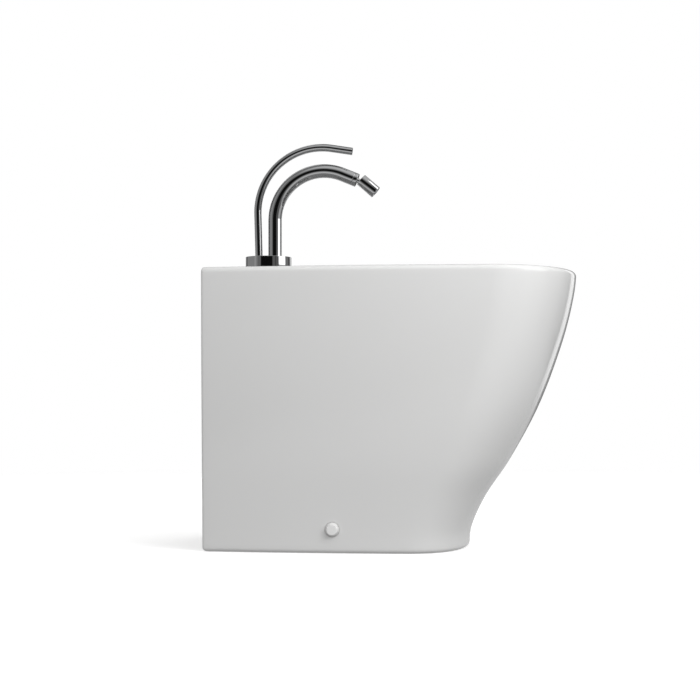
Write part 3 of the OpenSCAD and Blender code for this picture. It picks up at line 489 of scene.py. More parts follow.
def grown(name: str, tree: bpy.types.NodeTree, values: dict[str, Any], place: Matrix) -> bpy.types.Object:
    """Run a geometry node tree once and keep its mesh.

    Args:
        name: the object's name.
        tree: the tree.
        values: its named inputs, lengths in millimetres.
        place: where the result stands, in millimetres.

    Returns:
        A plain mesh object in metres.
    """
    weld = 1e-4
    item = placed(name, bpy.data.meshes.new(name))
    modifier = item.modifiers.new("grow", "NODES")
    modifier.node_group = tree
    for socket in tree.interface.items_tree:
        if socket.item_type == "SOCKET" and socket.in_out == "INPUT" and socket.name in values:
            modifier[socket.identifier] = values[socket.name]
    with editing(finished(item).data) as shape:
        bmesh.ops.remove_doubles(shape, verts=shape.verts, dist=weld)
        bmesh.ops.recalc_face_normals(shape, faces=shape.faces)
    item.data.transform(Matrix.Scale(MM, 4) @ place)
    return item


def bent_bar_tree() -> bpy.types.NodeTree:
    """Tree for a round bar with a straight rise, a bend in the XZ plane and a straight end."""
    t = ShapeTree("bent_bar")
    radius, rise, bend, turn, end = (t.entry(n) for n in ("Radius", "Rise", "Bend", "Turn", "End"))
    steps, sides = t.entry("Steps", "NodeSocketInt"), t.entry("Sides", "NodeSocketInt")
    caps = t.entry("Caps", "NodeSocketBool")
    arc = t.math("MULTIPLY", bend, turn)
    total = t.math("ADD", t.math("ADD", rise, arc), end)
    line = t.add("GeometryNodeCurvePrimitiveLine")
    fine = t.add("GeometryNodeResampleCurve", {"Curve": line.outputs[0], "Count": steps})
    reach = t.math("MULTIPLY", t.add("GeometryNodeSplineParameter").outputs["Factor"], total)
    up = t.math("MINIMUM", reach, rise)
    past_rise = t.math("SUBTRACT", reach, rise)
    angle = t.math("MAXIMUM", t.math("MINIMUM", t.math("DIVIDE", past_rise, bend), turn), 0.0)
    after = t.math("MAXIMUM", t.math("SUBTRACT", past_rise, arc), 0.0)
    sine, cosine = t.math("SINE", angle), t.math("COSINE", angle)
    bent_x = t.math("MULTIPLY", bend, t.math("SUBTRACT", 1.0, cosine))
    bent_z = t.math("ADD", up, t.math("MULTIPLY", bend, sine))
    x = t.math("ADD", bent_x, t.math("MULTIPLY", after, sine))
    z = t.math("ADD", bent_z, t.math("MULTIPLY", after, cosine))
    spot = t.add("ShaderNodeCombineXYZ", {"X": x, "Z": z})
    path = t.add("GeometryNodeSetPosition", {"Geometry": fine.outputs[0], "Position": spot.outputs[0]})
    return t.end(t.sweep(path.outputs[0], sides, radius, caps))


def helix_tree() -> bpy.types.NodeTree:
    """Tree for a helix of constant section, used for threads and for the spring."""
    t = ShapeTree("helix")
    radius, height, turns, wire = (t.entry(n) for n in ("Radius", "Height", "Turns", "Wire"))
    sides, steps = t.entry("Sides", "NodeSocketInt"), t.entry("Steps", "NodeSocketInt")
    spiral = t.add(
        "GeometryNodeCurveSpiral",
        {"Resolution": steps, "Rotations": turns, "Start Radius": radius, "End Radius": radius,
         "Height": height},
    )
    upright = t.add("GeometryNodeSetCurveNormal", {"Curve": spiral.outputs[0]}, mode="Z_UP")
    return t.end(t.sweep(upright.outputs[0], sides, wire, True))


def pierced_tree() -> bpy.types.NodeTree:
    """Tree for a round plate pierced by a centre hole and two rings of 6 and 12 holes."""
    t = ShapeTree("pierced_plate")
    radius, thickness, hole, pitch = (t.entry(n) for n in ("Radius", "Thickness", "Hole", "Pitch"))
    plate = t.add("GeometryNodeMeshCylinder", {"Vertices": ROUND, "Radius": radius, "Depth": thickness})
    through = t.math("MULTIPLY", thickness, 3.0)
    drill = t.add("GeometryNodeMeshCylinder", {"Vertices": 20, "Radius": hole, "Depth": through})
    spots = [
        t.add("GeometryNodeMeshCircle", {"Vertices": 6, "Radius": pitch}),
        t.add("GeometryNodeMeshCircle", {"Vertices": 12, "Radius": t.math("MULTIPLY", pitch, 2.0)}),
        t.add("GeometryNodeMeshLine", {"Count": 1}),
    ]
    together = t.add("GeometryNodeJoinGeometry")
    for spot in spots:
        t.wire(together, {0: spot.outputs[0]})
    drills = t.add(
        "GeometryNodeInstanceOnPoints", {"Points": together.outputs[0], "Instance": drill.outputs[0]}
    )
    real = t.add("GeometryNodeRealizeInstances", {0: drills.outputs[0]})
    cut = t.add("GeometryNodeMeshBoolean", {"Mesh 1": plate.outputs[0], "Mesh 2": real.outputs[0]})
    return t.end(cut.outputs[0])


def pair_tree() -> bpy.types.NodeTree:
    """Tree that sets a piece on two points across the mid plane, the second turned half round."""
    t = ShapeTree("pair_across")
    piece, spread = t.entry("Piece", "NodeSocketObject"), t.entry("Spread")
    start = t.add("ShaderNodeCombineXYZ", {"Y": spread})
    step = t.add("ShaderNodeCombineXYZ", {"Y": t.math("MULTIPLY", spread, -2.0)})
    points = t.add(
        "GeometryNodeMeshLine", {"Count": 2, "Start Location": start.outputs[0], "Offset": step.outputs[0]}
    )
    half_turn = t.math("MULTIPLY", t.add("GeometryNodeInputIndex").outputs[0], math.pi)
    turn = t.add("ShaderNodeCombineXYZ", {"Z": half_turn})
    shape = t.add("GeometryNodeObjectInfo", {"Object": piece})
    both = t.add(
        "GeometryNodeInstanceOnPoints",
        {"Points": points.outputs[0], "Instance": shape.outputs["Geometry"], "Rotation": turn.outputs[0]},
    )
    return t.end(both.outputs[0])


class ShadeTree(Tree):
    """A shader node tree, of a material, a group or the world."""

    def ramp(
        self, value: Any, low: float, high: float, to_low: float, to_high: float, soft: bool = False
    ) -> Any:
        """Map a value from one range onto another, clamped.

        Args:
            value: the value's socket.
            low: where the first range starts.
            high: where it ends.
            to_low: where the second range starts.
            to_high: where it ends.
            soft: whether the change eases in and out.

        Returns:
            The mapped value's socket.
        """
        span = {"Value": value, "From Min": low, "From Max": high, "To Min": to_low, "To Max": to_high}
        kind = "SMOOTHSTEP" if soft else "LINEAR"
        return self.add("ShaderNodeMapRange", span, interpolation_type=kind).outputs[0]

    def vary(self, noise: Any, low: float, high: float) -> Any:
        """Number that varies with a noise, whose values lie mostly between 0.3 and 0.7."""
        return self.ramp(noise, 0.3, 0.7, low, high)

    def band(self, value: Any, low: float, high: float, edge: float) -> Any:
        """Mask that is 1 between two values, with soft edges."""
        rise = self.ramp(value, low - edge, low + edge, 0.0, 1.0, soft=True)
        fall = self.ramp(value, high - edge, high + edge, 1.0, 0.0, soft=True)
        return self.math("MULTIPLY", rise, fall)

    def mix(self, share: Any, low: Any, high: Any) -> Any:
        """Number between two others by a share."""
        return self.add("ShaderNodeMix", {0: share, 2: low, 3: high}, data_type="FLOAT").outputs[0]

    def tint(self, share: Any, low: Any, high: Any) -> Any:
        """Colour between two others by a share, each a socket or a colour."""
        low, high = (end if isinstance(end, bpy.types.NodeSocket) else (*end, 1.0) for end in (low, high))
        return self.add("ShaderNodeMix", {0: share, 6: low, 7: high}, data_type="RGBA").outputs[2]

    def noise(self, place: Any, scale: Any, detail: float, roughness: float = 0.5) -> Any:
        """Value of a noise texture."""
        links = {"Vector": place, "Scale": scale, "Detail": detail, "Roughness": roughness}
        return self.add("ShaderNodeTexNoise", links).outputs[0]


def shade_group(
    name: str, inputs: dict[str, float], outputs: Sequence[str]
) -> tuple[ShadeTree, Any, dict[str, Any], Any]:
    """Start a shader node group.

    Args:
        name: the group's name.
        inputs: its number inputs and their defaults.
        outputs: its number outputs.

    Returns:
        The tree, its place socket, its number sockets by name, and its output node.
    """
    group = bpy.data.node_groups.new(name, "ShaderNodeTree")
    group.interface.new_socket("Place", in_out="INPUT", socket_type="NodeSocketVector")
    for key, value in inputs.items():
        group.interface.new_socket(key, in_out="INPUT", socket_type="NodeSocketFloat").default_value = value
    for key in outputs:
        group.interface.new_socket(key, in_out="OUTPUT", socket_type="NodeSocketFloat")
    sockets, out = group.nodes.new("NodeGroupInput").outputs, group.nodes.new("NodeGroupOutput")
    return ShadeTree(group), sockets["Place"], {key: sockets[key] for key in inputs}, out


def ripple_group(name: str) -> bpy.types.NodeTree:
    """Slow waves and fine orange peel of a fired or moulded surface: height and a mottle mask."""
    sizes = {"Wave Size": 0.06, "Peel Size": 0.002, "Peel Share": 0.1}
    t, place, source, out = shade_group(name, sizes, ["Height", "Mottle"])
    waves = t.noise(place, t.math("DIVIDE", 1.0, source["Wave Size"]), 2.0, 0.4)
    peel = t.noise(place, t.math("DIVIDE", 1.0, source["Peel Size"]), 1.0)
    fine = t.math("MULTIPLY", peel, source["Peel Share"])
    t.wire(out, {"Height": t.math("ADD", waves, fine), "Mottle": waves})
    return t.tree


def marks_group(name: str) -> bpy.types.NodeTree:
    """Hairline marks of polishing and wiping: a mask of thin strokes and a cloudy smear."""
    cloud_share = 0.12
    t, place, source, out = shade_group(name, {"Size": 0.004, "Stretch": 12.0}, ["Strokes", "Smear"])
    scale = t.math("DIVIDE", 1.0, source["Size"])
    stretch = t.add("ShaderNodeCombineXYZ", {"X": 1.0, "Y": source["Stretch"], "Z": 1.0})
    drawn = t.add("ShaderNodeVectorMath", {0: place, 1: stretch.outputs[0]}, operation="MULTIPLY")
    strokes = t.noise(drawn.outputs[0], scale, 4.0, 0.7)
    cloud = t.noise(place, t.math("MULTIPLY", scale, cloud_share), 3.0)
    t.wire(out, {
        "Strokes": t.ramp(strokes, 0.56, 0.72, 0.0, 1.0),
        "Smear": t.ramp(cloud, 0.4, 0.7, 0.0, 1.0, soft=True),
    })
    return t.tree


def grain_group(name: str) -> bpy.types.NodeTree:
    """Even grain, for rubber, moulded plastic, unglazed ware, pressed ceramic and machined metal."""
    t, place, source, out = shade_group(name, {"Size": 0.0006}, ["Grain"])
    t.wire(out, {"Grain": t.noise(place, t.math("DIVIDE", 1.0, source["Size"]), 3.0, 0.6)})
    return t.tree


class Effect(Enum):
    """The node groups that the finishes share."""

    RIPPLE = "surface_ripple"
    MARKS = "fine_marks"
    GRAIN = "fine_grain"

    def tree(self) -> bpy.types.NodeTree:
        """The group's tree, built on its first use."""
        makers = {Effect.RIPPLE: ripple_group, Effect.MARKS: marks_group, Effect.GRAIN: grain_group}
        return bpy.data.node_groups.get(self.value) or makers[self](self.value)


# ---------------------------------------------------------------- finishes


def shaded(colour: Colour, share: float) -> Colour:
    """A colour made darker in proportion."""
    return tuple(part * share for part in colour)


class Finish:
    """What the finishes share: a material, built on its first use, and the record's slot that it dresses."""

    name: str
    slot: str

    def material(self) -> bpy.types.Material:
        """The finish's material."""
        made = bpy.data.materials.get(self.name)
        if made is None:
            made = bpy.data.materials.new(self.name)
            made.use_nodes = True
            made.node_tree.nodes.clear()
            tree = ShadeTree(made.node_tree)
            shader = tree.add("ShaderNodeBsdfPrincipled")
            tree.add("ShaderNodeOutputMaterial", {"Surface": shader.outputs[0]})
            self.paint(tree, shader, tree.add("ShaderNodeTexCoord").outputs["Object"])
        return made

    def effect(self, tree: ShadeTree, effect: Effect, place: Any, **values: float) -> Any:
        """Place one of the shared groups in the material.

        Args:
            tree: the material's tree.
            effect: the group.
            place: the place socket that it reads.
            values: its number inputs, named in small letters.

        Returns:
            The group node's outputs.
        """
        links = {key.replace("_", " ").title(): value for key, value in values.items()}
        return tree.add("ShaderNodeGroup", {"Place": place, **links}, node_tree=effect.tree()).outputs

    def coat(
        self, tree: ShadeTree, shader: Any, colour: Any, rough: Any, bump: tuple[Any, float, float]
    ) -> None:
        """Feed the shader.

        Args:
            tree: the material's tree.
            shader: its shader.
            colour: the colour's socket.
            rough: the roughness's socket.
            bump: the height's socket, the bump's distance in metres and its strength.
        """
        height, distance, strength = bump
        node = tree.add("ShaderNodeBump", {"Height": height, "Distance": distance, "Strength": strength})
        tree.wire(shader, {"Base Color": colour, "Roughness": rough, "Normal": node.outputs[0]})

    def paint(self, tree: ShadeTree, shader: Any, place: Any) -> None:
        """Fill the material."""
        raise NotImplementedError


@dataclass(frozen=True)
class Glaze(Finish):
    """White sanitary glaze over china, bare and rough where the raw mask says so."""

    name: str = "white_glaze"
    slot: str = "vitreous_china"
    colour: Colour = (0.80, 0.80, 0.795)
    bare: Colour = (0.70, 0.67, 0.62)
    # Painted shade: the glaze's colour as reflected in metal, darker than the glaze itself
    painted_mirror_shade: Colour = (0.25, 0.25, 0.25)
    roughness: float = 0.07
    bare_roughness: tuple[float, float] = (0.6, 0.8)

    def paint(self, tree: ShadeTree, shader: Any, place: Any) -> None:
        """Glaze with slow waves, bare ware inside and under the foot, and painted shade where metal mirrors
        it: a darker colour seen only in reflections.
        """
        ripple = self.effect(tree, Effect.RIPPLE, place, wave_size=0.09, peel_size=0.004, peel_share=0.02)
        grain = self.effect(tree, Effect.GRAIN, place, size=0.0012)["Grain"]
        raw = tree.add("ShaderNodeAttribute", attribute_name="raw").outputs["Fac"]
        glazed = tree.tint(ripple["Mottle"], shaded(self.colour, 0.985), self.colour)
        ware = tree.tint(grain, shaded(self.bare, 0.9), self.bare)
        # Painted reflection shade: glossy rays see the glaze in a darker colour
        painted_mirror_shade_mask = tree.add("ShaderNodeLightPath").outputs["Is Glossy Ray"]
        colour = tree.tint(painted_mirror_shade_mask, tree.tint(raw, glazed, ware), self.painted_mirror_shade)
        gloss = tree.vary(ripple["Mottle"], self.roughness * 0.8, self.roughness * 1.3)
        rough = tree.mix(raw, gloss, tree.vary(grain, *self.bare_roughness))
        tooth = tree.math("MULTIPLY", tree.math("MULTIPLY", grain, raw), 0.5)
        self.coat(tree, shader, colour, rough, (tree.math("ADD", ripple["Height"], tooth), 0.0004, 0.25))


@dataclass(frozen=True)
class Plate(Finish):
    """Polished metal plate with faint wiping marks."""

    name: str = "polished_chrome"
    slot: str = "chrome_plate"
    colour: Colour = (0.63, 0.635, 0.64)
    roughness: float = 0.03

    def paint(self, tree: ShadeTree, shader: Any, place: Any) -> None:
        """Mirror metal, a little cloudier in the smears and strokes."""
        marks = self.effect(tree, Effect.MARKS, place, size=0.006, stretch=5.0)
        tree.wire(shader, {"Metallic": 1.0})
        worn = tree.math("MAXIMUM", tree.math("MULTIPLY", marks["Strokes"], 0.6), marks["Smear"])
        colour = tree.tint(worn, self.colour, shaded(self.colour, 0.975))
        rough = tree.ramp(worn, 0.0, 1.0, self.roughness, self.roughness * 1.9)
        self.coat(tree, shader, colour, rough, (marks["Smear"], 0.00001, 0.05))


@dataclass(frozen=True)
class TurnedMetal(Finish):
    """Machined, drawn or zinc-plated metal with tool marks."""

    name: str
    slot: str
    colour: Colour
    roughness: float = 0.3
    mark_size: float = 0.001

    def paint(self, tree: ShadeTree, shader: Any, place: Any) -> None:
        """Metal with stretched tool marks, darker in its grain."""
        marks = self.effect(tree, Effect.MARKS, place, size=self.mark_size, stretch=16.0)
        grain = self.effect(tree, Effect.GRAIN, place, size=0.0008)["Grain"]
        tree.wire(shader, {"Metallic": 1.0})
        mask = tree.math("ADD", tree.math("MULTIPLY", grain, 0.7), marks["Smear"], clamp=True)
        colour = tree.tint(mask, shaded(self.colour, 0.82), self.colour)
        rough = tree.ramp(marks["Strokes"], 0.0, 1.0, self.roughness, self.roughness * 1.5)
        self.coat(tree, shader, colour, rough, (tree.math("ADD", marks["Strokes"], grain), 0.00003, 0.4))


@dataclass(frozen=True)
class Moulded(Finish):
    """Moulded plastic, rubber or pressed ceramic: an even body with fine grain."""

    name: str
    slot: str
    colour: Colour
    roughness: float = 0.35
    depth: float = 0.00003

    def paint(self, tree: ShadeTree, shader: Any, place: Any) -> None:
        """Even colour with grain and soft sink marks."""
        grain = self.effect(tree, Effect.GRAIN, place, size=0.0005)["Grain"]
        ripple = self.effect(tree, Effect.RIPPLE, place, wave_size=0.012, peel_size=0.001, peel_share=0.2)
        colour = tree.tint(grain, shaded(self.colour, 0.9), self.colour)
        rough = tree.vary(ripple["Mottle"], self.roughness * 0.85, self.roughness * 1.2)
        height = tree.math("ADD", ripple["Height"], tree.math("MULTIPLY", grain, 0.3))
        self.coat(tree, shader, colour, rough, (height, self.depth, 0.5))


GLAZE = Glaze()
CHROME = Plate()
ZINC = TurnedMetal("zinc_plate", "zinc_steel", (0.58, 0.59, 0.61), 0.34)
STAINLESS = TurnedMetal("turned_stainless", "stainless", (0.62, 0.61, 0.6), 0.24, 0.0008)
BRASS = TurnedMetal("machined_brass", "raw_brass", (0.72, 0.53, 0.24), 0.28)
RUBBER = Moulded("black_rubber", "black_rubber", (0.018, 0.018, 0.018), 0.6)
WHITE_PLASTIC = Moulded("white_plastic", "white_plastic", (0.74, 0.74, 0.732), 0.12)
GREY_PLASTIC = Moulded("grey_plastic", "grey_plastic", (0.16, 0.165, 0.17), 0.42)
ALUMINA = Moulded("lapped_alumina", "disc_ceramic", (0.76, 0.74, 0.69), 0.2, 0.00001)


class Body(Enum):
    """The CAD bodies that pieces ride on."""

    FIXED = "fixed"
    ROTOR = "rotor"
    LEVER = "lever"
    SLIDER = "slider"
    STUD = "stud"
    NOZZLE = "nozzle"
    PLUG = "plug"


def settle(item: bpy.types.Object, body: Body, finish: Finish, node: str) -> bpy.types.Object:
    """Dress a piece and tie it to its body.

    Args:
        item: the finished piece.
        body: the CAD body it rides on.
        finish: its finish.
        node: the CAD node it stands for.

    Returns:
        The piece.
    """
    item.data.materials.clear()
    item.data.materials.append(finish.material())
    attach(item, body.value)
    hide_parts(node)
    LOG.info("piece %s on %s, %d faces", item.name, body.value, len(item.data.polygons))
    return item


def refine(body: Body, rows: Iterable[tuple[str, Finish, float]]) -> None:
    """Copy CAD nodes with their edges broken, and dress them.

    Args:
        body: the CAD body they ride on.
        rows: each node, its finish and the rounding of its edges in millimetres.
    """
    for node, finish, rounding in rows:
        settle(refined(node, rounding), body, finish, node)


def thread(
    name: str, core: float, depth: float, pitch: float, height: float, steps: int, place: Matrix
) -> bpy.types.Object:
    """Helical ridge of a thread, with four faces round it.

    Args:
        name: the object's name.
        core: radius of the thread's root in millimetres.
        depth: its depth in millimetres.
        pitch: its rise in one turn.
        height: its length along the axis.
        steps: points in one turn.
        place: where its lower end stands, with Z along its axis.

    Returns:
        The ridge, half sunk in the core.
    """
    sizes = {"Radius": core, "Height": height, "Turns": height / pitch, "Wire": depth, "Sides": 4}
    return grown(name, helix_tree(), {**sizes, "Steps": steps, "Material": CHROME.material()}, place)


# ---------------------------------------------------------------- ceramic

Ring = tuple[np.ndarray, float, float]


def quarter_round(steps: int) -> list[Point2]:
    """Way in from the side and way up from the flat, along a quarter circle of radius 1."""
    angles = [math.pi / 2 * k / steps for k in range(steps + 1)]
    return [(1 - math.sin(a), 1 - math.cos(a)) for a in angles]


@dataclass
class ChinaShell:
    """The hollow china body. Sizes in millimetres from the wall and the floor, angles in degrees."""

    length: float = 545.0
    height: float = 410.0
    rim_width: float = 361.0
    rim_back_width: float = 290.0
    rim_widest: float = 418.0
    rim_power: float = 1.91
    rim_flat: float = 2.5
    foot_length: float = 385.0
    foot_width: float = 302.0
    foot_back_width: float = 268.0
    foot_widest: float = 290.0
    foot_power: float = 2.37
    wall: float = 12.0
    deck: float = 14.0
    rim_edge: float = 8.0
    rear_edge: float = 3.0
    foot_edge: float = 6.0
    corner: float = 4.0
    corner_run: float = 3.0
    bowl_front: float = 503.0
    bowl_back: float = 185.0
    bowl_width: float = 256.0
    bowl_power: float = 2.2
    bowl_depth: float = 150.0
    bowl_start: float = 9.0
    fullness: float = 2.4
    bowl_wall: float = 11.0
    bowl_floor: float = 14.0
    lip: float = 9.0
    drain_x: float = 310.0
    drain_edge: float = 2.0
    seat_radius: float = 34.0
    hole_radius: float = 23.0
    seat_lap: float = 6.0
    overflow_drop: float = 42.0
    overflow_radius: float = 10.0
    overflow_seat_radius: float = 13.8
    overflow_seat_depth: float = 2.0
    overflow_drill: float = 6.0
    duct_radius: float = 8.5
    duct_wall: float = 5.5
    duct_low_radius: float = 4.5
    duct_low_wall: float = 2.6
    duct_low_share: float = 0.54
    opening_width: float = 200.0
    opening_height: float = 300.0
    opening_corner: float = 40.0
    tap_hole_x: float = 64.0
    tap_hole_radius: float = 17.5
    screw_x: float = 190.0
    screw_z: float = 34.0
    screw_hole: float = 6.5
    screw_depth: float = 31.0
    cap_radius: float = 10.6
    cap_gap: float = 0.3
    seat_cut: float = 0.3
    crease: float = 30.0
    profile: tuple[Point2, ...] = (
        (0.0, 0.0), (0.073, 0.022), (0.183, 0.152), (0.317, 0.38),
        (0.512, 0.648), (0.732, 0.86), (0.89, 0.966), (1.0, 1.0),
    )
    wall_steps: int = 8
    corner_steps: int = 5
    side_steps: int = 34
    front_steps: int = 64
    foot_steps: int = 6
    height_steps: int = 72
    edge_steps: int = 8
    bowl_steps: int = 44
    under_steps: int = 30
    inner_steps: int = 24

    @property
    def bowl_middle(self) -> float:
        """Distance from the wall to the middle of the bowl's mouth."""
        return (self.bowl_front + self.bowl_back) / 2

    @property
    def bowl_half(self) -> float:
        """Half of the bowl's length at its mouth."""
        return (self.bowl_front - self.bowl_back) / 2

    @property
    def overflow_seat_x(self) -> float:
        """Distance from the wall to the seat of the overflow ring."""
        return self.bowl_rear() - self.overflow_seat_depth

    @cached_property
    def rim_angles(self) -> np.ndarray:
        """Directions from the bowl's middle to the rim's points, which the bowl's rings keep."""
        rim = self.outline(1.0, self.rim_edge, self.rear_edge)
        return np.arctan2(rim[:, 1], rim[:, 0] - self.bowl_middle)

    def flare(self, z: float) -> float:
        """Follow the profile's smooth curve through its points.

        Args:
            z: a height above the floor.

        Returns:
            Share of the way from plinth to rim at that height.
        """
        u = min(1.0, max(0.0, z / self.height))
        p = self.profile
        i = max(k for k in range(len(p) - 1) if p[k][0] <= u)

        def slope(k: int) -> float:
            """Slope of the profile at one of its points."""
            if k in (0, len(p) - 1):
                return 0.0
            return (p[k + 1][1] - p[k - 1][1]) / (p[k + 1][0] - p[k - 1][0])

        step = p[i + 1][0] - p[i][0]
        t = (u - p[i][0]) / step
        return (
            (2 * t**3 - 3 * t**2 + 1) * p[i][1] + (t**3 - 2 * t**2 + t) * step * slope(i)
            + (3 * t**2 - 2 * t**3) * p[i + 1][1] + (t**3 - t**2) * step * slope(i + 1)
        )

    def half_width(self, x: float, f: float) -> float:
        """Half width at a distance from the wall, up to the widest place."""
        widest = lerp(self.foot_widest, self.rim_widest, f)
        half = lerp(self.foot_width, self.rim_width, f) / 2
        half_back = lerp(self.foot_back_width, self.rim_back_width, f) / 2
        return half - (half - half_back) * ((widest - x) / widest) ** 2

    def outline(self, f: float, inset: float, back: float) -> np.ndarray:
        """Closed outline of the body.

        Args:
            f: the flare, 0 at the plinth and 1 at the rim.
            inset: how far inside the surface it runs.
            back: how far in front of the wall plane it starts.

        Returns:
            Points in order round the body, in millimetres.
        """
        widest = lerp(self.foot_widest, self.rim_widest, f)
        half = lerp(self.foot_width, self.rim_width, f) / 2 - inset
        front = lerp(self.foot_length, self.length, f) - inset
        power = lerp(self.foot_power, self.rim_power, f)
        r = self.corner
        corner = Vector((back, self.half_width(back, f) - inset))
        start = Vector((back, corner.y - r))
        end = Vector((back + r, self.half_width(back + r, f) - inset))
        near = start.y - self.corner_run
        points = [(back, near * k / self.wall_steps) for k in range(self.wall_steps + 1)]
        for k in range(self.corner_steps + 1):
            t = k / self.corner_steps
            spot = start * (1 - t) ** 2 + corner * 2 * t * (1 - t) + end * t**2
            points.append((spot.x, spot.y))
        for k in range(1, self.side_steps):
            x = lerp(end.x, widest, k / self.side_steps)
            points.append((x, self.half_width(x, f) - inset))
        for k in range(self.front_steps):
            a = math.pi / 2 * k / self.front_steps
            points.append(
                (widest + (front - widest) * math.sin(a) ** (2 / power), half * math.cos(a) ** (2 / power))
            )
        points.append((front, 0.0))
        painted_mirror_shade_mask = [(x, -y) for x, y in points[-2:0:-1]]
        return np.array(points + painted_mirror_shade_mask)

    def bowl_section(self, share: float, base: float, grow: float) -> np.ndarray:
        """Closed ring of the bowl, a circle at the waste and a superellipse at the mouth.

        Args:
            share: 1 at the mouth and 0 at the waste.
            base: the ring's radius at the waste.
            grow: what is added to the radii at the mouth.

        Returns:
            Points in the rim's order, in millimetres.
        """
        a = base + (self.bowl_half + grow - base) * share
        b = base + (self.bowl_width / 2 + grow - base) * share
        power = lerp(2.0, self.bowl_power, share)
        x = lerp(self.drain_x, self.bowl_middle, share)
        angles = self.rim_angles
        radii = (np.abs(np.cos(angles) / a) ** power + np.abs(np.sin(angles) / b) ** power) ** (-1 / power)
        return np.stack([x + radii * np.cos(angles), radii * np.sin(angles)], axis=1)

    def bowl_ring(self, angle: float, depth: float, base: float, grow: float) -> tuple[np.ndarray, float]:
        """Ring of the bowl at a place on its way down.

        Args:
            angle: the place in radians, 0 at the mouth and a quarter turn at the waste.
            depth: the bowl's depth.
            base: the ring's radius at the waste.
            grow: what is added to the radii at the mouth.

        Returns:
            The ring's points and its height.
        """
        share, down = math.cos(angle) ** (2 / self.fullness), math.sin(angle) ** (2 / self.fullness)
        return self.bowl_section(share, base, grow), self.height - depth * down

    def outer_rings(self) -> list[Ring]:
        """Rings up the outside: points, height, and 1 where the ware is bare, which is under the foot."""
        made: list[Ring] = []
        for share, up in quarter_round(self.foot_steps):
            inset, z = self.foot_edge * share, self.foot_edge * up
            made.append((self.outline(self.flare(z), inset, inset), z, 0.0 if made else 1.0))
        for k in range(1, self.height_steps):
            z = lerp(self.foot_edge, self.height - self.rim_edge, k / self.height_steps)
            made.append((self.outline(self.flare(z), 0.0, 0.0), z, 0.0))
        for share, down in reversed(quarter_round(self.edge_steps)):
            z = self.height - self.rim_edge * down
            made.append((self.outline(self.flare(z), self.rim_edge * share, self.rear_edge * share), z, 0.0))
        return made

    def bowl_rings(self) -> list[Ring]:
        """Glazed rings over the rim and down the bowl to its waste hole."""
        flat, seat, floor = self.rim_flat, self.seat_radius, self.height - self.bowl_depth
        made = [
            (self.outline(1.0, self.rim_edge + flat, self.rear_edge + flat), self.height, 0.0),
            (self.bowl_section(1.0, seat, self.lip + flat), self.height, 0.0),
        ]
        for share, down in quarter_round(self.edge_steps):
            made.append((self.bowl_section(1.0, seat, self.lip * share), self.height - self.lip * down, 0.0))
        for k in range(1, self.bowl_steps + 1):
            angle = math.radians(lerp(self.bowl_start, 90.0, k / self.bowl_steps))
            made.append((*self.bowl_ring(angle, self.bowl_depth, seat, 0.0), 0.0))
        made.append((self.bowl_section(0.0, self.hole_radius + self.drain_edge, 0.0), floor, 0.0))
        made.append((self.bowl_section(0.0, self.hole_radius, 0.0), floor - self.drain_edge, 0.0))
        return made

    def inner_rings(self) -> list[Ring]:
        """Bare rings through the waste hole, up under the bowl and down inside the plinth."""
        depth, seat = self.bowl_depth + self.bowl_floor, self.seat_radius + self.seat_lap
        made = [(self.bowl_section(0.0, self.hole_radius, 0.0), self.height - depth, 1.0)]
        first = math.asin((self.deck / depth) ** (self.fullness / 2))
        for k in range(self.under_steps + 1):
            angle = lerp(math.pi / 2, first, k / self.under_steps)
            made.append((*self.bowl_ring(angle, depth, seat, self.bowl_wall), 1.0))
        for k in range(self.inner_steps + 1):
            z = lerp(self.height - self.deck, 0.0, k / self.inner_steps)
            made.append((self.outline(self.flare(z), self.wall, self.wall), z, 1.0))
        return made

    def skin(self) -> bpy.types.Object:
        """The closed shell without its holes."""
        rings = self.outer_rings() + self.bowl_rings() + self.inner_rings()
        count = len(rings[0][0])
        vertices = np.concatenate([np.column_stack([p, np.full(count, z)]) for p, z, _ in rings])
        faces = []
        for j in range(len(rings)):
            low, high = j * count, (j + 1) % len(rings) * count
            for i in range(count):
                n = (i + 1) % count
                faces.append((low + i, low + n, high + n, high + i))
        shell = make_object("china_shell", vertices, faces, from_wall(0))
        raw = shell.data.attributes.new("raw", "FLOAT", "POINT")
        raw.data.foreach_set("value", np.repeat([r for _, _, r in rings], count).astype(np.float32))
        return shell

    def bowl_rear(self) -> float:
        """Distance from the wall to the bowl's rear surface at the overflow."""
        share = (1 - (self.overflow_drop / self.bowl_depth) ** self.fullness) ** (1 / self.fullness)
        a = self.seat_radius + (self.bowl_half - self.seat_radius) * share
        return lerp(self.drain_x, self.bowl_middle, share) - a

    def duct_tools(self) -> tuple[list[bpy.types.Object], list[bpy.types.Object]]:
        """Outer walls and bores of the overflow channel."""
        z, seat_x = self.height - self.overflow_drop, self.overflow_seat_x
        x = self.bowl_rear() - self.bowl_wall - self.duct_radius
        low_z = self.height - self.bowl_depth - self.bowl_floor * self.duct_low_share
        flat = turned(90, "Y")
        low_wall = self.duct_low_radius + self.duct_low_wall
        wall_top = self.height - self.deck + LAP
        reach = self.drain_x - self.seat_radius - self.seat_lap + 2 * LAP - x
        walls = [
            rod(self.duct_radius + self.duct_wall, low_z - low_wall - LAP, wall_top, from_wall(x), 48),
            rod(low_wall, 0, reach, from_wall(x, 0, low_z) @ flat, 48),
        ]
        bores = [
            rod(self.overflow_radius, 0, seat_x - x + LAP, from_wall(x, 0, z) @ flat),
            rod(self.overflow_seat_radius, 0, self.overflow_drill, from_wall(seat_x, 0, z) @ flat),
            rod(self.duct_radius, low_z - LAP, z + self.overflow_radius + LAP, from_wall(x), 48),
            rod(self.duct_low_radius, 0, self.drain_x - x, from_wall(x, 0, low_z) @ flat, 32),
        ]
        return walls, bores

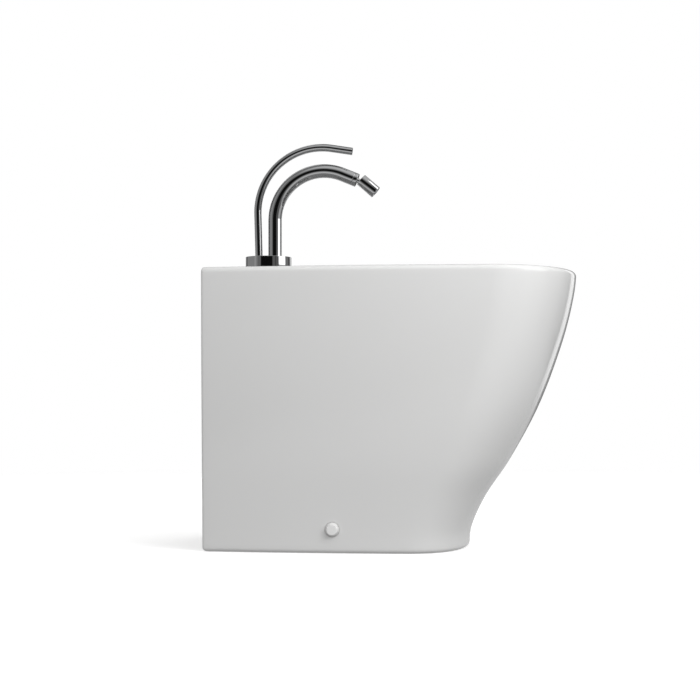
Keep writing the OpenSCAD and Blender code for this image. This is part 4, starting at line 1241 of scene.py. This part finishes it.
    def rear_opening(self) -> bpy.types.Object:
        """Arched cutting tool for the opening that the pipes pass through."""
        half, high, r = self.opening_width / 2, self.opening_height, self.opening_corner
        arch = [(half, -CLEAR), (half, high), (-half, high), (-half, -CLEAR)]
        shape = rounded(arch, [0, r, r, 0], 12, closed=True)
        count = len(shape)
        vertices = [(x, y, z) for x in (-CLEAR, self.wall + LAP) for y, z in shape]
        faces = [tuple(range(count)), tuple(range(2 * count - 1, count - 1, -1))]
        faces += [(i, count + i, count + (i + 1) % count, (i + 1) % count) for i in range(count)]
        return make_object("tool", vertices, faces, from_wall(0))

    def seat_y(self) -> float:
        """Distance from the mid plane to the flat under the screw cover."""
        low = self.half_width(self.screw_x - self.cap_radius, self.flare(self.screw_z - self.cap_radius))
        return low - self.seat_cut

    def side_tools(self) -> list[bpy.types.Object]:
        """Drills for the two side screws, with the flats under their covers."""
        tools = []
        for side in (-1, 1):
            place = from_wall(self.screw_x, 0, self.screw_z) @ turned(-90 * side, "X")
            tools.append(rod(self.screw_hole, self.foot_width / 2 - self.screw_depth, self.foot_width, place))
            tools.append(rod(self.cap_radius + self.cap_gap, self.seat_y(), self.foot_width, place))
        return tools

    def build(self) -> None:
        """Make the shell, open its holes and dress it."""
        shell = self.skin()
        walls, bores = self.duct_tools()
        low, high = self.height - self.deck - CLEAR, self.height + CLEAR
        tap_hole = rod(self.tap_hole_radius, low, high, from_wall(self.tap_hole_x))
        carve(shell, walls, Cut.ADD)
        carve(shell, [*bores, self.rear_opening(), tap_hole, *self.side_tools()])
        settle(smooth(shell, self.crease), Body.FIXED, GLAZE, "ceramic_body")


@dataclass
class FloorFixing:
    """Covers, screws, sleeves, blocks and brackets that hold the body to the floor. Millimetres."""

    china: ChinaShell
    base_radius: float = 10.6
    base_edge: Point2 = (0.4, 0.8)
    face_radius: float = 6.8
    face_edge: Point2 = (0.8, 0.25)
    face_wall: float = 1.4
    height: float = 7.5
    sleeve_radius: float = 8.5
    sleeve_height: float = 2.1
    gap: float = 0.1

    def cover(self) -> bpy.types.Object:
        """One tapered cover, standing on the XY plane."""
        top, inner, under = self.height, self.sleeve_radius + self.gap, self.height - self.face_wall
        corners = [
            (inner, 0.0), (self.base_radius - self.base_edge[0], 0.0), (self.base_radius, self.base_edge[1]),
            (self.face_radius + self.face_edge[0], top - self.face_edge[1]), (self.face_radius, top),
            (0.0, top), (0.0, under), (self.face_radius - self.gap, under), (inner, self.sleeve_height),
        ]
        profile = rounded(corners, [0, 0.3, 0.5, 0.6, 0.5, 0, 0, 0.3, 0])
        return lathe("tool", [*profile, (inner, 0.0)], Matrix.Identity(4))

    def build(self) -> None:
        """Set the covers on both sides and refine what is behind them."""
        china = self.china
        cover = self.cover()
        cover.data.transform(turned(-90, "X") @ Matrix.Scale(1 / MM, 4))
        caps = grown(
            "screw_covers", pair_tree(),
            {"Piece": cover, "Spread": china.seat_y(), "Material": WHITE_PLASTIC.material()},
            from_wall(china.screw_x, 0, china.screw_z),
        )
        bpy.data.objects.remove(cover)
        settle(smooth(caps), Body.FIXED, WHITE_PLASTIC, "screw_caps")
        refine(Body.FIXED, [
            ("screw_sleeves", WHITE_PLASTIC, 0.2),
            ("fixing_screws", STAINLESS, 0.15),
            ("bracket_blocks", GREY_PLASTIC, 1.0),
            ("floor_brackets", ZINC, 0.5),
        ])


# ---------------------------------------------------------------- tap


@dataclass
class TapSizes:
    """Places and sizes that the tap's sub-assemblies share, in millimetres."""

    deck_z: float = 410.0
    base_x: float = 78.3
    base_radius: float = 34.75
    base_height: float = 25.2
    lever_x: float = 64.0
    spout_x: float = 88.4
    shank_radius: float = 16.4
    shank_length: float = 60.0
    bore_radius: float = 13.8
    bore_depth: float = 34.0
    socket_radius: float = 7.6
    socket_depth: float = 23.5
    pivot_drop: float = 8.0
    over: float = 2.0

    @property
    def top(self) -> float:
        """Height of the base's top above the floor."""
        return self.deck_z + self.base_height

    @property
    def pivot(self) -> float:
        """Height of the lever's pivot above the floor."""
        return self.top - self.pivot_drop


@dataclass
class TapBase:
    """Turned base with its threaded shank, and what clamps it to the deck. Millimetres."""

    tap: TapSizes
    shank_lap: float = 3.0
    shank_edge: float = 0.8
    thread_pitch: float = 2.0
    thread_depth: float = 0.8
    thread_short: float = 1.5
    inlet_radius: float = 4.5
    inlet_depth: float = 14.0
    inlet_gap: float = 14.4
    inlet_x: float = 2.5
    screw_radius: float = 1.5
    screw_drop: float = 7.0
    screw_start: float = 9.0
    screw_reach: float = 30.0

    @property
    def bottom(self) -> float:
        """Height of the shank's lower end above the floor."""
        return self.tap.deck_z - self.tap.shank_length

    def body(self) -> bpy.types.Object:
        """The base and the shank's core in one mesh, bored for cartridge, spout and hoses."""
        tap = self.tap
        corners = [(0, tap.deck_z), (tap.base_radius, tap.deck_z), (tap.base_radius, tap.top), (0, tap.top)]
        disc = rounded(corners, [0, 0.5, 0.55, 0])
        base = lathe("tap_base_body", disc, from_wall(tap.base_x), segments=2 * ROUND)
        core, bottom, end = tap.shank_radius - self.thread_depth, self.bottom, tap.deck_z + self.shank_lap
        corners = [(0, bottom), (core, bottom), (core, end), (0, end)]
        shank = lathe("tool", rounded(corners, [0, self.shank_edge, 0, 0]), from_wall(tap.lever_x))
        carve(base, [shank], Cut.ADD)
        screw = from_wall(tap.spout_x + self.screw_start, 0, tap.top - self.screw_drop) @ turned(90, "Y")
        tools = [
            rod(tap.bore_radius, tap.top - tap.bore_depth, tap.top + tap.over, from_wall(tap.lever_x), ROUND),
            rod(tap.socket_radius, tap.top - tap.socket_depth, tap.top + tap.over, from_wall(tap.spout_x)),
            rod(self.screw_radius, 0, self.screw_reach, screw, 32),
        ]
        for side in (-1, 1):
            place = from_wall(tap.lever_x + self.inlet_x, side * self.inlet_gap / 2)
            tools.append(rod(self.inlet_radius, bottom - tap.over, bottom + self.inlet_depth, place, 48))
        return carve(base, tools)

    def build(self) -> None:
        """Make the base, its thread and the refined clamp parts."""
        tap = self.tap
        base = self.body()
        depth, pitch = self.thread_depth, self.thread_pitch
        height = tap.shank_length - 2 * self.thread_short - pitch
        place = from_wall(tap.lever_x, 0, self.bottom + self.thread_short)
        ridge = thread("shank_thread", tap.shank_radius - depth, depth, pitch, height, 48, place)
        settle(smooth(joined("tap_base_made", [base, ridge]), THREAD_CREASE), Body.FIXED, CHROME, "tap_base")
        refine(Body.FIXED, [
            ("base_seal", RUBBER, 0.15),
            ("shank_gasket", RUBBER, 0.4),
            ("shank_washer", ZINC, 0.25),
            ("shank_nut", BRASS, 0.8),
            ("spout_screw", STAINLESS, 0.1),
        ])


@dataclass
class Cartridge:
    """The mixing cartridge under the lever. Millimetres."""

    tap: TapSizes
    ring_outer: float = 13.75
    ring_hole: float = 9.5
    ring_height: float = 2.8
    spanner_radius: float = 0.84
    spanner_depth: float = 1.4

    def ring(self) -> bpy.types.Object:
        """Retaining ring with rounded edges and two spanner holes."""
        tap = self.tap
        low, top, hole, outer = tap.top - self.ring_height, tap.top, self.ring_hole, self.ring_outer
        corners = [(hole, low), (outer, low), (outer, top), (hole, top)]
        profile = rounded(corners, [0.2, 0.2, 0.25, 0.5], 4, closed=True)
        ring = lathe("retaining_ring_made", profile, from_wall(tap.lever_x), closed=True, segments=128)
        tools = []
        for side in (-1, 1):
            place = from_wall(tap.lever_x, side * (outer + hole) / 2)
            tools.append(rod(self.spanner_radius, top - self.spanner_depth, top + tap.over, place, 24))
        return smooth(carve(ring, tools))

    def build(self) -> None:
        """Make the ring and refine the stack below it."""
        settle(self.ring(), Body.FIXED, CHROME, "retaining_ring")
        refine(Body.FIXED, [
            ("cartridge_body", GREY_PLASTIC, 0.15),
            ("cartridge_seal", RUBBER, 0.15),
            ("fixed_disc", ALUMINA, 0.1),
        ])
        refine(Body.SLIDER, [("moving_disc", ALUMINA, 0.1), ("disc_carrier", WHITE_PLASTIC, 0.15)])
        refine(Body.ROTOR, [("lever_guide", WHITE_PLASTIC, 0.15), ("pivot_pin", STAINLESS, 0.1)])


@dataclass
class Lever:
    """The curved stick with its ball and spindle. Millimetres and degrees."""

    tap: TapSizes
    radius: float = 5.6
    lean: float = 1.5
    root: float = 5.0
    rise: float = 66.0
    bend: float = 98.0
    turn: float = 100.3
    tip: float = 32.0
    tip_edge: float = 0.8
    cutter: tuple[float, float, float] = (9.0, 9.0, 20.0)

    def build(self) -> None:
        """Make the stick, cut its root level with the base, refine the ball and the spindle."""
        tap = self.tap
        pivot = from_wall(tap.lever_x, 0, tap.pivot)
        stick = grown(
            "lever_stick", bent_bar_tree(),
            {"Radius": self.radius, "Rise": self.rise + self.root, "Bend": self.bend,
             "Turn": math.radians(self.turn), "End": self.tip, "Steps": 260, "Sides": 48, "Caps": True,
             "Material": CHROME.material()},
            pivot @ turned(-self.lean, "Y") @ along(tap.pivot_drop - self.root),
        )
        x, y, z = self.cutter
        carve(stick, [block(Vector((-x, -y, -z)), Vector((x, y, tap.pivot_drop)), pivot)])
        stick = cleaned(finished(soften(stick, self.tip_edge, 4, BAR_CREASE)))
        settle(smooth(stick), Body.LEVER, CHROME, "lever_handle")
        refine(Body.LEVER, [("lever_ball", CHROME, 0.15), ("spindle", STAINLESS, 0.0)])


@dataclass
class Spout:
    """The cane-shaped tube, its collar and the ball stud. Millimetres and degrees."""

    tap: TapSizes
    radius: float = 10.25
    wall: float = 2.0
    rise: float = 56.0
    bend: float = 75.0
    turn: float = 112.0
    end: float = 24.3
    rim: float = 0.45
    spigot_radius: float = 7.5
    spigot_length: float = 19.5
    spigot_wall: float = 2.5
    spigot_lap: float = 2.0
    grooves: tuple[float, float] = (1.5, 5.2)
    groove_depth: float = 1.2
    groove_width: float = 1.8
    collar: float = 6.0
    collar_face: float = 1.2
    collar_tail: float = 7.0
    gap: float = 0.05
    neck: float = 3.7
    ball: float = 6.8
    ball_reach: float = 14.0
    ball_steps: int = 32
    stud_root: float = 5.5
    stud_depth: float = 9.0
    stud_bore: float = 2.2
    stud_edge: float = 0.3

    def end_place(self) -> Matrix:
        """Place of the spout's very end, with Z along it."""
        tap = self.tap
        bend = from_wall(tap.spout_x + self.bend, 0, tap.top + self.rise) @ turned(self.turn, "Y")
        return bend @ Matrix.Translation((-self.bend, 0, self.end))

    def tube(self) -> bpy.types.Object:
        """Hollow tube with its spigot, grooved for two seals."""
        place = from_wall(self.tap.spout_x, 0, self.tap.top)
        tube = grown(
            "spout_tube_made", bent_bar_tree(),
            {"Radius": self.radius, "Rise": self.rise, "Bend": self.bend, "Turn": math.radians(self.turn),
             "End": self.end - self.collar, "Steps": 220, "Sides": 96, "Caps": False,
             "Material": CHROME.material()},
            place,
        )
        skin = tube.modifiers.new("wall", "SOLIDIFY")
        skin.thickness = self.wall * MM
        skin.offset = -1.0
        finished(soften(tube, self.rim, 3, BAR_CREASE))
        outer, low = self.spigot_radius, -self.spigot_length
        inner, deep = outer - self.spigot_wall, outer - self.groove_depth
        steps = [(inner, low), (outer, low)]
        for groove in self.grooves:
            start, stop = low + groove, low + groove + self.groove_width
            steps += [(outer, start), (deep, start), (deep, stop), (outer, stop)]
        steps += [(outer, self.spigot_lap), (inner, self.spigot_lap)]
        spigot = lathe("tool", steps, place, closed=True)
        return smooth(joined("spout_tube_made", [tube, spigot]))

    def collar_ring(self) -> bpy.types.Object:
        """Collar on the tube's end, with the bush that the stud turns in."""
        hole, inner, outer = self.neck + self.gap, self.radius - self.wall, self.radius
        bush, seat = self.stud_root - 1, self.stud_root + self.gap
        face, step, tail = -self.collar_face, -self.collar, -self.collar - self.collar_tail
        corners = [
            (hole, face), (hole, 0.0), (outer, 0.0), (outer, step), (inner, step), (inner, tail),
            (bush, tail), (bush, -self.stud_depth), (seat, -self.stud_depth), (seat, face),
        ]
        profile = rounded(corners, [0, 0.3, 0.6, 0.7, 0, 0.4, 0.3, 0, 0, 0], 4, closed=True)
        return lathe("spout_collar_made", profile, self.end_place(), closed=True, segments=128)

    def stud(self) -> bpy.types.Object:
        """Bored stud with its root in the collar and a ball on its neck."""
        bore, root, edge, low = self.stud_bore, self.stud_root, self.stud_edge, -self.stud_depth
        top = -self.collar_face - self.gap
        profile = [
            (bore, low), (root - edge, low), (root, low + edge), (root, top - edge), (root - edge, top),
            (self.neck, top),
        ]
        start, stop = math.asin(self.neck / self.ball), math.pi - math.asin(bore / self.ball)
        for k in range(self.ball_steps + 1):
            a = lerp(start, stop, k / self.ball_steps)
            profile.append((self.ball * math.sin(a), self.ball_reach - self.ball * math.cos(a)))
        return lathe("ball_stud_made", profile, self.end_place(), closed=True)

    def build(self) -> None:
        """Make the tube, the collar and the stud."""
        settle(self.tube(), Body.FIXED, CHROME, "spout_tube")
        refine(Body.FIXED, [("spout_seals", RUBBER, 0.3)])
        settle(self.collar_ring(), Body.FIXED, CHROME, "spout_collar")
        settle(self.stud(), Body.STUD, CHROME, "ball_stud")


@dataclass
class Nozzle:
    """The swivelling nozzle on the ball. Millimetres and degrees."""

    spout: Spout
    radius: float = 9.5
    length: float = 29.5
    depth: float = 9.2
    dip: float = 18.8
    wall: float = 1.6
    ring_length: float = 6.5
    ring_lap: float = 0.6
    ring_edge: float = 0.15
    cone: float = 22.0
    play: float = 0.3
    seat_step: float = 0.15
    seal_end: float = 7.5
    aerator_sunk: float = 0.8
    face_thickness: float = 1.5
    sleeve_wall: float = 1.0
    sleeve_gap: float = 0.02
    hole_share: float = 0.1
    pitch_share: float = 0.33

    @property
    def inner(self) -> float:
        """Radius of the sleeve's bore."""
        return self.radius - self.wall

    @property
    def seat(self) -> float:
        """Radius of the ring's counterbore."""
        return self.inner + self.ring_lap

    def place(self) -> Matrix:
        """Place of the ball's centre, with Z along the nozzle."""
        return self.spout.end_place() @ along(self.spout.ball_reach) @ turned(self.dip, "Y")

    def shell(self) -> bpy.types.Object:
        """Outer sleeve, counterbored for the ring."""
        near, far = -self.depth, self.length - self.depth
        step = near + self.ring_length
        corners = [
            (self.radius, near), (self.radius, far), (self.inner, far), (self.inner, step),
            (self.seat, step), (self.seat, near),
        ]
        profile = rounded(corners, [0.5, 0.5, 0.35, 0, 0, 0.15], 4, closed=True)
        return lathe("nozzle_body_made", profile, self.place(), closed=True, segments=128)

    def keeper(self) -> bpy.types.Object:
        """Ring behind the ball, with its cone and spherical seat."""
        near, edge, lean = -self.depth, self.ring_edge, math.radians(self.cone)
        mouth = self.depth * math.tan(lean) + self.spout.neck / math.cos(lean) + self.play
        ball, z = self.spout.ball + self.play, near + self.ring_length
        profile = [(mouth, near), (self.seat - edge, near), (self.seat, near + edge), (self.seat, z)]
        while math.sqrt(ball**2 - z**2) > mouth - (z - near) * math.tan(lean):
            profile.append((math.sqrt(ball**2 - z**2), z))
            z -= self.seat_step
        return lathe("nozzle_ring_made", profile, self.place(), closed=True)

    def former(self) -> bpy.types.Object:
        """Flow former: a short sleeve closed by a pierced face."""
        place = self.place()
        end = self.length - self.depth - self.aerator_sunk
        top = end - (self.face_thickness - self.sleeve_gap)
        bore, outer = self.inner - self.sleeve_wall, self.inner - self.sleeve_gap
        profile = [(bore, self.seal_end), (outer, self.seal_end), (outer, top), (bore, top)]
        sleeve = lathe("tool", profile, place, closed=True)
        face = grown(
            "tool_face", pierced_tree(),
            {"Radius": self.inner, "Thickness": self.face_thickness, "Hole": self.inner * self.hole_share,
             "Pitch": self.inner * self.pitch_share, "Material": GREY_PLASTIC.material()},
            place @ along(end - self.face_thickness / 2),
        )
        return smooth(joined("aerator_made", [sleeve, face]))

    def build(self) -> None:
        """Make the sleeve, ring and former, and refine the seal."""
        settle(self.shell(), Body.NOZZLE, CHROME, "nozzle_body")
        settle(self.keeper(), Body.NOZZLE, CHROME, "nozzle_ring")
        settle(self.former(), Body.NOZZLE, GREY_PLASTIC, "aerator")
        refine(Body.NOZZLE, [("ball_seal", RUBBER, 0.0)])


# ---------------------------------------------------------------- waste


@dataclass
class Waste:
    """Overflow ring, waste fitting and the push-down plug. Millimetres."""

    china: ChinaShell
    ring_wall: float = 2.0
    ring_gap: float = 0.1
    ring_depth: float = 8.0
    ring_height: float = 2.4
    ring_slope: float = 1.0
    thread_radius: float = 20.95
    thread_depth: float = 0.7
    thread_pitch: float = 2.3
    thread_length: float = 44.0
    wall: float = 3.0
    length: float = 76.0
    flange_radius: float = 32.0
    flange: float = 3.5
    flange_edge: float = 1.0
    flange_rim: float = 0.5
    flange_slope: float = 3.0
    flange_dish: float = 2.5
    flange_wall: float = 2.0
    flange_tail: float = 6.0
    seal: float = 1.5
    gap: float = 0.3
    plug_radius: float = 27.0
    plug_edge: float = 4.0
    plug_foot: float = 1.0
    plug_round: float = 0.8
    plug_round_steps: int = 6
    crown: float = 2.5
    crown_steps: int = 20
    travel: float = 7.0
    spring_drop: float = 20.0
    spring_radius: float = 6.5
    spring_wire: float = 0.6
    spring_turns: float = 6.0

    @property
    def flange_z(self) -> float:
        """Height of the flange's underside."""
        return self.china.height - self.china.bowl_depth + self.seal

    @property
    def plug_z(self) -> float:
        """Height of the raised plug's underside."""
        return self.flange_z + self.flange + self.gap + self.travel

    def overflow_ring(self) -> bpy.types.Object:
        """Ring pressed into the overflow hole."""
        china = self.china
        outer, face = china.overflow_radius - self.ring_gap, china.overflow_seat_radius - self.gap
        inner, slope, top = china.overflow_radius - self.ring_wall, self.ring_slope, self.ring_height
        corners = [
            (inner, -self.ring_depth), (outer, -self.ring_depth), (outer, 0), (face, 0), (face, top - slope),
            (face - slope, top), (inner + slope, top), (inner, top - slope),
        ]
        profile = rounded(corners, [0.2, 0.2, 0, 0.3, 0.5, 0.7, 0.5, 0.5], 4, closed=True)
        place = from_wall(china.overflow_seat_x, 0, china.height - china.overflow_drop) @ turned(90, "Y")
        return lathe("overflow_ring_made", profile, place, closed=True)

    def flange_piece(self) -> bpy.types.Object:
        """Dished flange screwed into the waste body."""
        thread, outer, top = self.thread_radius - self.wall, self.flange_radius, self.flange
        hole, tail = thread - self.flange_wall, -self.flange_tail
        edge, rim, slope = self.flange_edge, self.flange_rim, self.flange_slope
        corners = [
            (hole, tail), (thread, tail), (thread, 0), (outer - rim, 0), (outer, rim),
            (outer - edge, top - edge), (outer - slope, top), (hole + slope, top),
            (hole, top - self.flange_dish),
        ]
        profile = rounded(corners, [0.3, 0.3, 0, 0.2, 0.3, 1.0, 1.5, 1.5, 0.8], closed=True)
        place = from_wall(self.china.drain_x, 0, self.flange_z)
        return lathe("waste_flange_made", profile, place, closed=True, segments=128)

    def plug(self) -> bpy.types.Object:
        """Domed plug."""
        rim, top, foot, edge = self.plug_radius, self.plug_edge, self.plug_foot, self.plug_round
        lower = rounded([(0, 0), (rim - foot, 0), (rim, foot), (rim, top)], [0, 0.3, 0.3, 0])
        profile = lower[:-1]
        for k in range(self.plug_round_steps + 1):
            a = math.pi / 2 * k / self.plug_round_steps
            profile.append((rim - edge * (1 - math.cos(a)), top - edge + edge * math.sin(a)))
        for k in range(1, self.crown_steps + 1):
            r = (rim - edge) * (1 - k / self.crown_steps)
            profile.append((r, top + self.crown * (1 - (r / (rim - edge)) ** 2)))
        return lathe("waste_plug_made", profile, from_wall(self.china.drain_x, 0, self.plug_z), segments=128)

    def body_piece(self) -> bpy.types.Object:
        """Body of the waste, with a cut thread on its free end."""
        low = self.china.height - self.china.bowl_depth - self.length
        core, high = self.thread_radius - self.thread_depth, low + self.thread_length
        place = from_wall(self.china.drain_x)
        outer, end = self.thread_radius + LAP, low - LAP
        groove = [(core, end), (outer, end), (outer, high), (core, high)]
        cutter = lathe("tool", groove, place @ half_facet(ROUND), closed=True)
        piece = carve(refined("waste_body", 0.0), [cutter])
        pitch, height = self.thread_pitch, self.thread_length - 2 * self.thread_pitch
        ridge = thread("waste_thread", core, self.thread_depth, pitch, height, 56, place @ along(low + pitch))
        return smooth(joined("waste_body_made", [piece, ridge]), THREAD_CREASE)

    def spring(self) -> None:
        """Coil spring under the plug, shortened by the plug's travel."""
        china, wire = self.china, self.spring_wire
        low = china.height - china.bowl_depth - china.bowl_floor - self.spring_drop
        reach = self.plug_z - self.gap - low
        spring = grown(
            "plug_spring_made", helix_tree(),
            {"Radius": self.spring_radius, "Height": reach - 2 * wire, "Turns": self.spring_turns,
             "Wire": wire, "Sides": 12, "Steps": 40, "Material": STAINLESS.material()},
            from_wall(china.drain_x, 0, low + wire),
        )
        settle(smooth(spring), Body.FIXED, STAINLESS, "plug_spring")
        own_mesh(spring)

    def build(self) -> None:
        """Make the visible parts and refine the rest."""
        settle(self.overflow_ring(), Body.FIXED, CHROME, "overflow_ring")
        settle(self.flange_piece(), Body.FIXED, CHROME, "waste_flange")
        settle(self.plug(), Body.PLUG, CHROME, "waste_plug")
        self.spring()
        settle(self.body_piece(), Body.FIXED, CHROME, "waste_body")
        refine(Body.FIXED, [
            ("flange_seal", RUBBER, 0.3),
            ("waste_gasket", RUBBER, 0.8),
            ("waste_nut", BRASS, 0.9),
        ])
        refine(Body.PLUG, [("plug_stem", STAINLESS, 0.3), ("plug_seal", RUBBER, 0.15)])


# ---------------------------------------------------------------- studio

WHITE = (1.0, 1.0, 1.0, 1.0)


@dataclass
class SoftBox:
    """A rectangular lamp that points at a target. Metres and watts."""

    name: str
    place: tuple[float, float, float]
    aim: tuple[float, float, float]
    size: tuple[float, float]
    power: float

    def build(self) -> None:
        """Add the lamp."""
        lamp = bpy.data.lights.new(self.name, "AREA")
        lamp.shape = "RECTANGLE"
        lamp.size, lamp.size_y = self.size
        lamp.energy = self.power
        item = placed(self.name, lamp)
        item.location = self.place
        item.rotation_euler = (Vector(self.aim) - Vector(self.place)).to_track_quat("-Z", "Y").to_euler()
        item.visible_glossy = False
        item.visible_camera = False


@dataclass(frozen=True)
class Patch:
    """A soft-edged patch of the surroundings that mirrors see. Angles in degrees.

    Sides count from the -Y axis, positive towards the bidet's front, and heights from the horizon.
    """

    level: float
    sides: tuple[float, float]
    heights: tuple[float, float]
    blur: float
    height_blur: float


@dataclass
class Studio:
    """Camera, floor, lamps and surroundings. The camera's sizes are in pixels, millimetres and degrees."""

    image: float = 700.0
    focal: float = 1551.0
    axis_u: float = 388.0
    axis_v: float = 387.09
    aim_x: float = 261.0
    distance: float = 2356.0
    height: float = 237.3
    azimuth: float = 3.4
    sensor: float = 36.0
    clip: tuple[float, float] = (0.05, 50.0)
    room: float = 0.25
    glow: float = 0.33
    floor_radius: float = 2.4
    floor_drop: float = 0.4
    floor_grey: float = 0.86
    floor_fade: tuple[float, float] = (0.35, 0.95)
    bounce: float = 0.31
    floor_lift: float = 0.42
    floor_shine: float = 0.60
    lamps: list[SoftBox] = field(default_factory=lambda: [
        SoftBox("overhead_box", (0.35, -0.5, 2.2), (0.0, 0.0, 0.3), (2.2, 1.8), 11.0),
        SoftBox("key_box", (0.85, -1.0, 1.15), (0.1, 0.0, 0.3), (0.9, 0.7), 8.0),
        SoftBox("right_box", (1.4, -1.2, 0.9), (0.1, 0.0, 0.25), (0.9, 0.8), 8.0),
        SoftBox("left_box", (-0.9, -1.5, 0.9), (0.0, 0.0, 0.25), (0.9, 0.8), 3.5),
        SoftBox("level_box", (0.3, -1.9, 0.7), (0.0, 0.0, 0.25), (1.0, 0.8), 3.0),
        SoftBox("rear_box", (-1.5, 1.3, 0.8), (0.0, 0.0, 0.25), (1.2, 1.0), 13.0),
        SoftBox("far_box", (1.1, 1.7, 0.8), (0.0, 0.0, 0.25), (1.2, 1.0), 10.0),
    ])
    patches: tuple[Patch, ...] = (
        Patch(0.50, (-60, 60), (-91, -26), 12, 16),
        Patch(0.62, (-40, 120), (46, 91), 20, 12),
        Patch(0.30, (-126, -48), (-40, 45), 4, 10),
        Patch(0.17, (-50, -33), (-12, 40), 3, 10),
        Patch(0.22, (100, 126), (-30, 45), 4, 10),
        Patch(0.08, (126, 181), (-60, 60), 6, 10),
        Patch(0.08, (-181, -126), (-60, 60), 6, 10),
        Patch(0.60, (-166, -118), (30, 75), 8, 10),
        Patch(0.60, (118, 166), (30, 75), 8, 10),
        Patch(1.20, (-160, -148), (-45, 24), 2, 8),
        Patch(1.20, (148, 160), (-45, 24), 2, 8),
        Patch(0.13, (30, 62), (-12, 40), 3, 10),
        Patch(0.05, (42, 46), (-12, 40), 1.5, 10),
        Patch(0.006, (-32, 29), (-9, 31), 3, 9),
        Patch(0.46, (-66, -61), (-12, 50), 1.5, 6),
        Patch(0.50, (62, 101), (-16, 10), 2, 8),
        Patch(2.60, (62, 101), (4.3, 58), 2, 0.25),
    )

    def camera(self) -> None:
        """Camera from the fit to the photograph."""
        data = bpy.data.cameras.new("camera")
        data.sensor_width = self.sensor
        data.lens = self.sensor * self.focal / self.image
        data.shift_x = -(self.axis_u - self.image / 2) / self.image
        data.shift_y = (self.axis_v - self.image / 2) / self.image
        data.clip_start, data.clip_end = self.clip
        item = placed("camera", data)
        angle = math.radians(self.azimuth)
        x = self.aim_x + self.distance * math.sin(angle) - WALL_TO_ORIGIN
        item.location = Vector((x, -self.distance * math.cos(angle), self.height)) * MM
        item.rotation_euler = (math.pi / 2, 0.0, angle)
        bpy.context.scene.camera = item

    def surroundings(self) -> None:
        """World: white to the camera, a studio to mirrors, an even glow to the rest."""
        world = bpy.data.worlds.new("surroundings")
        bpy.context.scene.world = world
        world.use_nodes = True
        world.node_tree.nodes.clear()
        t = ShadeTree(world.node_tree)
        ray = t.add("ShaderNodeLightPath").outputs
        direction = t.add("ShaderNodeSeparateXYZ", {0: t.add("ShaderNodeTexCoord").outputs["Generated"]})
        x, y, z = direction.outputs
        side = t.math("DEGREES", t.math("ARCTAN2", x, t.math("MULTIPLY", y, -1.0)))
        up = t.math("DEGREES", t.math("ARCSINE", z))
        level: Any = self.room
        for patch in self.patches:
            across = t.band(side, *patch.sides, patch.blur)
            mask = t.math("MULTIPLY", across, t.band(up, *patch.heights, patch.height_blur))
            level = t.mix(mask, level, patch.level)
        mirror = t.math("MAXIMUM", ray["Is Glossy Ray"], ray["Is Transmission Ray"])
        seen = t.mix(ray["Is Camera Ray"], t.mix(mirror, self.glow, level), 1.0)
        glow = t.add("ShaderNodeBackground", {"Color": WHITE, "Strength": seen})
        t.add("ShaderNodeOutputWorld", {"Surface": glow.outputs[0]})

    def floor_paint(self) -> bpy.types.Material:
        """Material of the floor, which fades out, with its own brightness to mirrors and to other rays."""
        paint = bpy.data.materials.new("studio_floor")
        paint.use_nodes = True
        paint.node_tree.nodes.clear()
        t = ShadeTree(paint.node_tree)
        ray = t.add("ShaderNodeLightPath").outputs
        place = t.add("ShaderNodeTexCoord").outputs["Object"]
        reach = t.add("ShaderNodeVectorMath", {0: place}, operation="LENGTH").outputs["Value"]
        matt = t.add("ShaderNodeBsdfDiffuse", {"Color": (*[self.floor_grey] * 3, 1.0)})
        lift = t.add("ShaderNodeEmission", {"Color": WHITE, "Strength": self.floor_lift})
        bright = t.add("ShaderNodeAddShader", {0: matt.outputs[0], 1: lift.outputs[0]})
        shine = t.mix(ray["Is Glossy Ray"], self.bounce, self.floor_shine)
        dim = t.add("ShaderNodeEmission", {"Color": WHITE, "Strength": shine})
        ways = {0: ray["Is Camera Ray"], 1: dim.outputs[0], 2: bright.outputs[0]}
        seen = t.add("ShaderNodeMixShader", ways)
        clear = t.add("ShaderNodeBsdfTransparent")
        near, far = (self.floor_radius * share for share in self.floor_fade)
        fade = t.ramp(reach, near, far, 0.0, 1.0, soft=True)
        mix = t.add("ShaderNodeMixShader", {0: fade, 1: seen.outputs[0], 2: clear.outputs[0]})
        t.add("ShaderNodeOutputMaterial", {"Surface": mix.outputs[0]})
        return paint

    def floor(self) -> None:
        """Pale floor that keeps the shadow and fades into the background."""
        radius = self.floor_radius / MM
        vertices = [(0.0, 0.0, -self.floor_drop)]
        for k in range(ROUND):
            angle = 2 * math.pi * k / ROUND
            vertices.append((math.cos(angle) * radius, math.sin(angle) * radius, -self.floor_drop))
        faces = [(0, k + 1, (k + 1) % ROUND + 1) for k in range(ROUND)]
        floor = make_object("studio_floor", vertices, faces)
        floor.data.materials.append(self.floor_paint())

    def build(self) -> None:
        """Set up the whole studio."""
        self.camera()
        self.surroundings()
        self.floor()
        for lamp in self.lamps:
            lamp.build()
        bpy.context.scene.view_settings.view_transform = "Standard"


def main() -> None:
    """Build the studio, then every sub-assembly in order."""
    logging.basicConfig(level=logging.INFO, format="%(name)s: %(message)s")
    Studio().build()
    china, tap = ChinaShell(), TapSizes()
    spout = Spout(tap)
    fittings = (TapBase(tap), Cartridge(tap), Lever(tap), spout, Nozzle(spout), Waste(china))
    for part in (china, FloorFixing(china), *fittings):
        part.build()
        LOG.info("built %s", type(part).__name__)


if __name__ == "__main__":
    main()
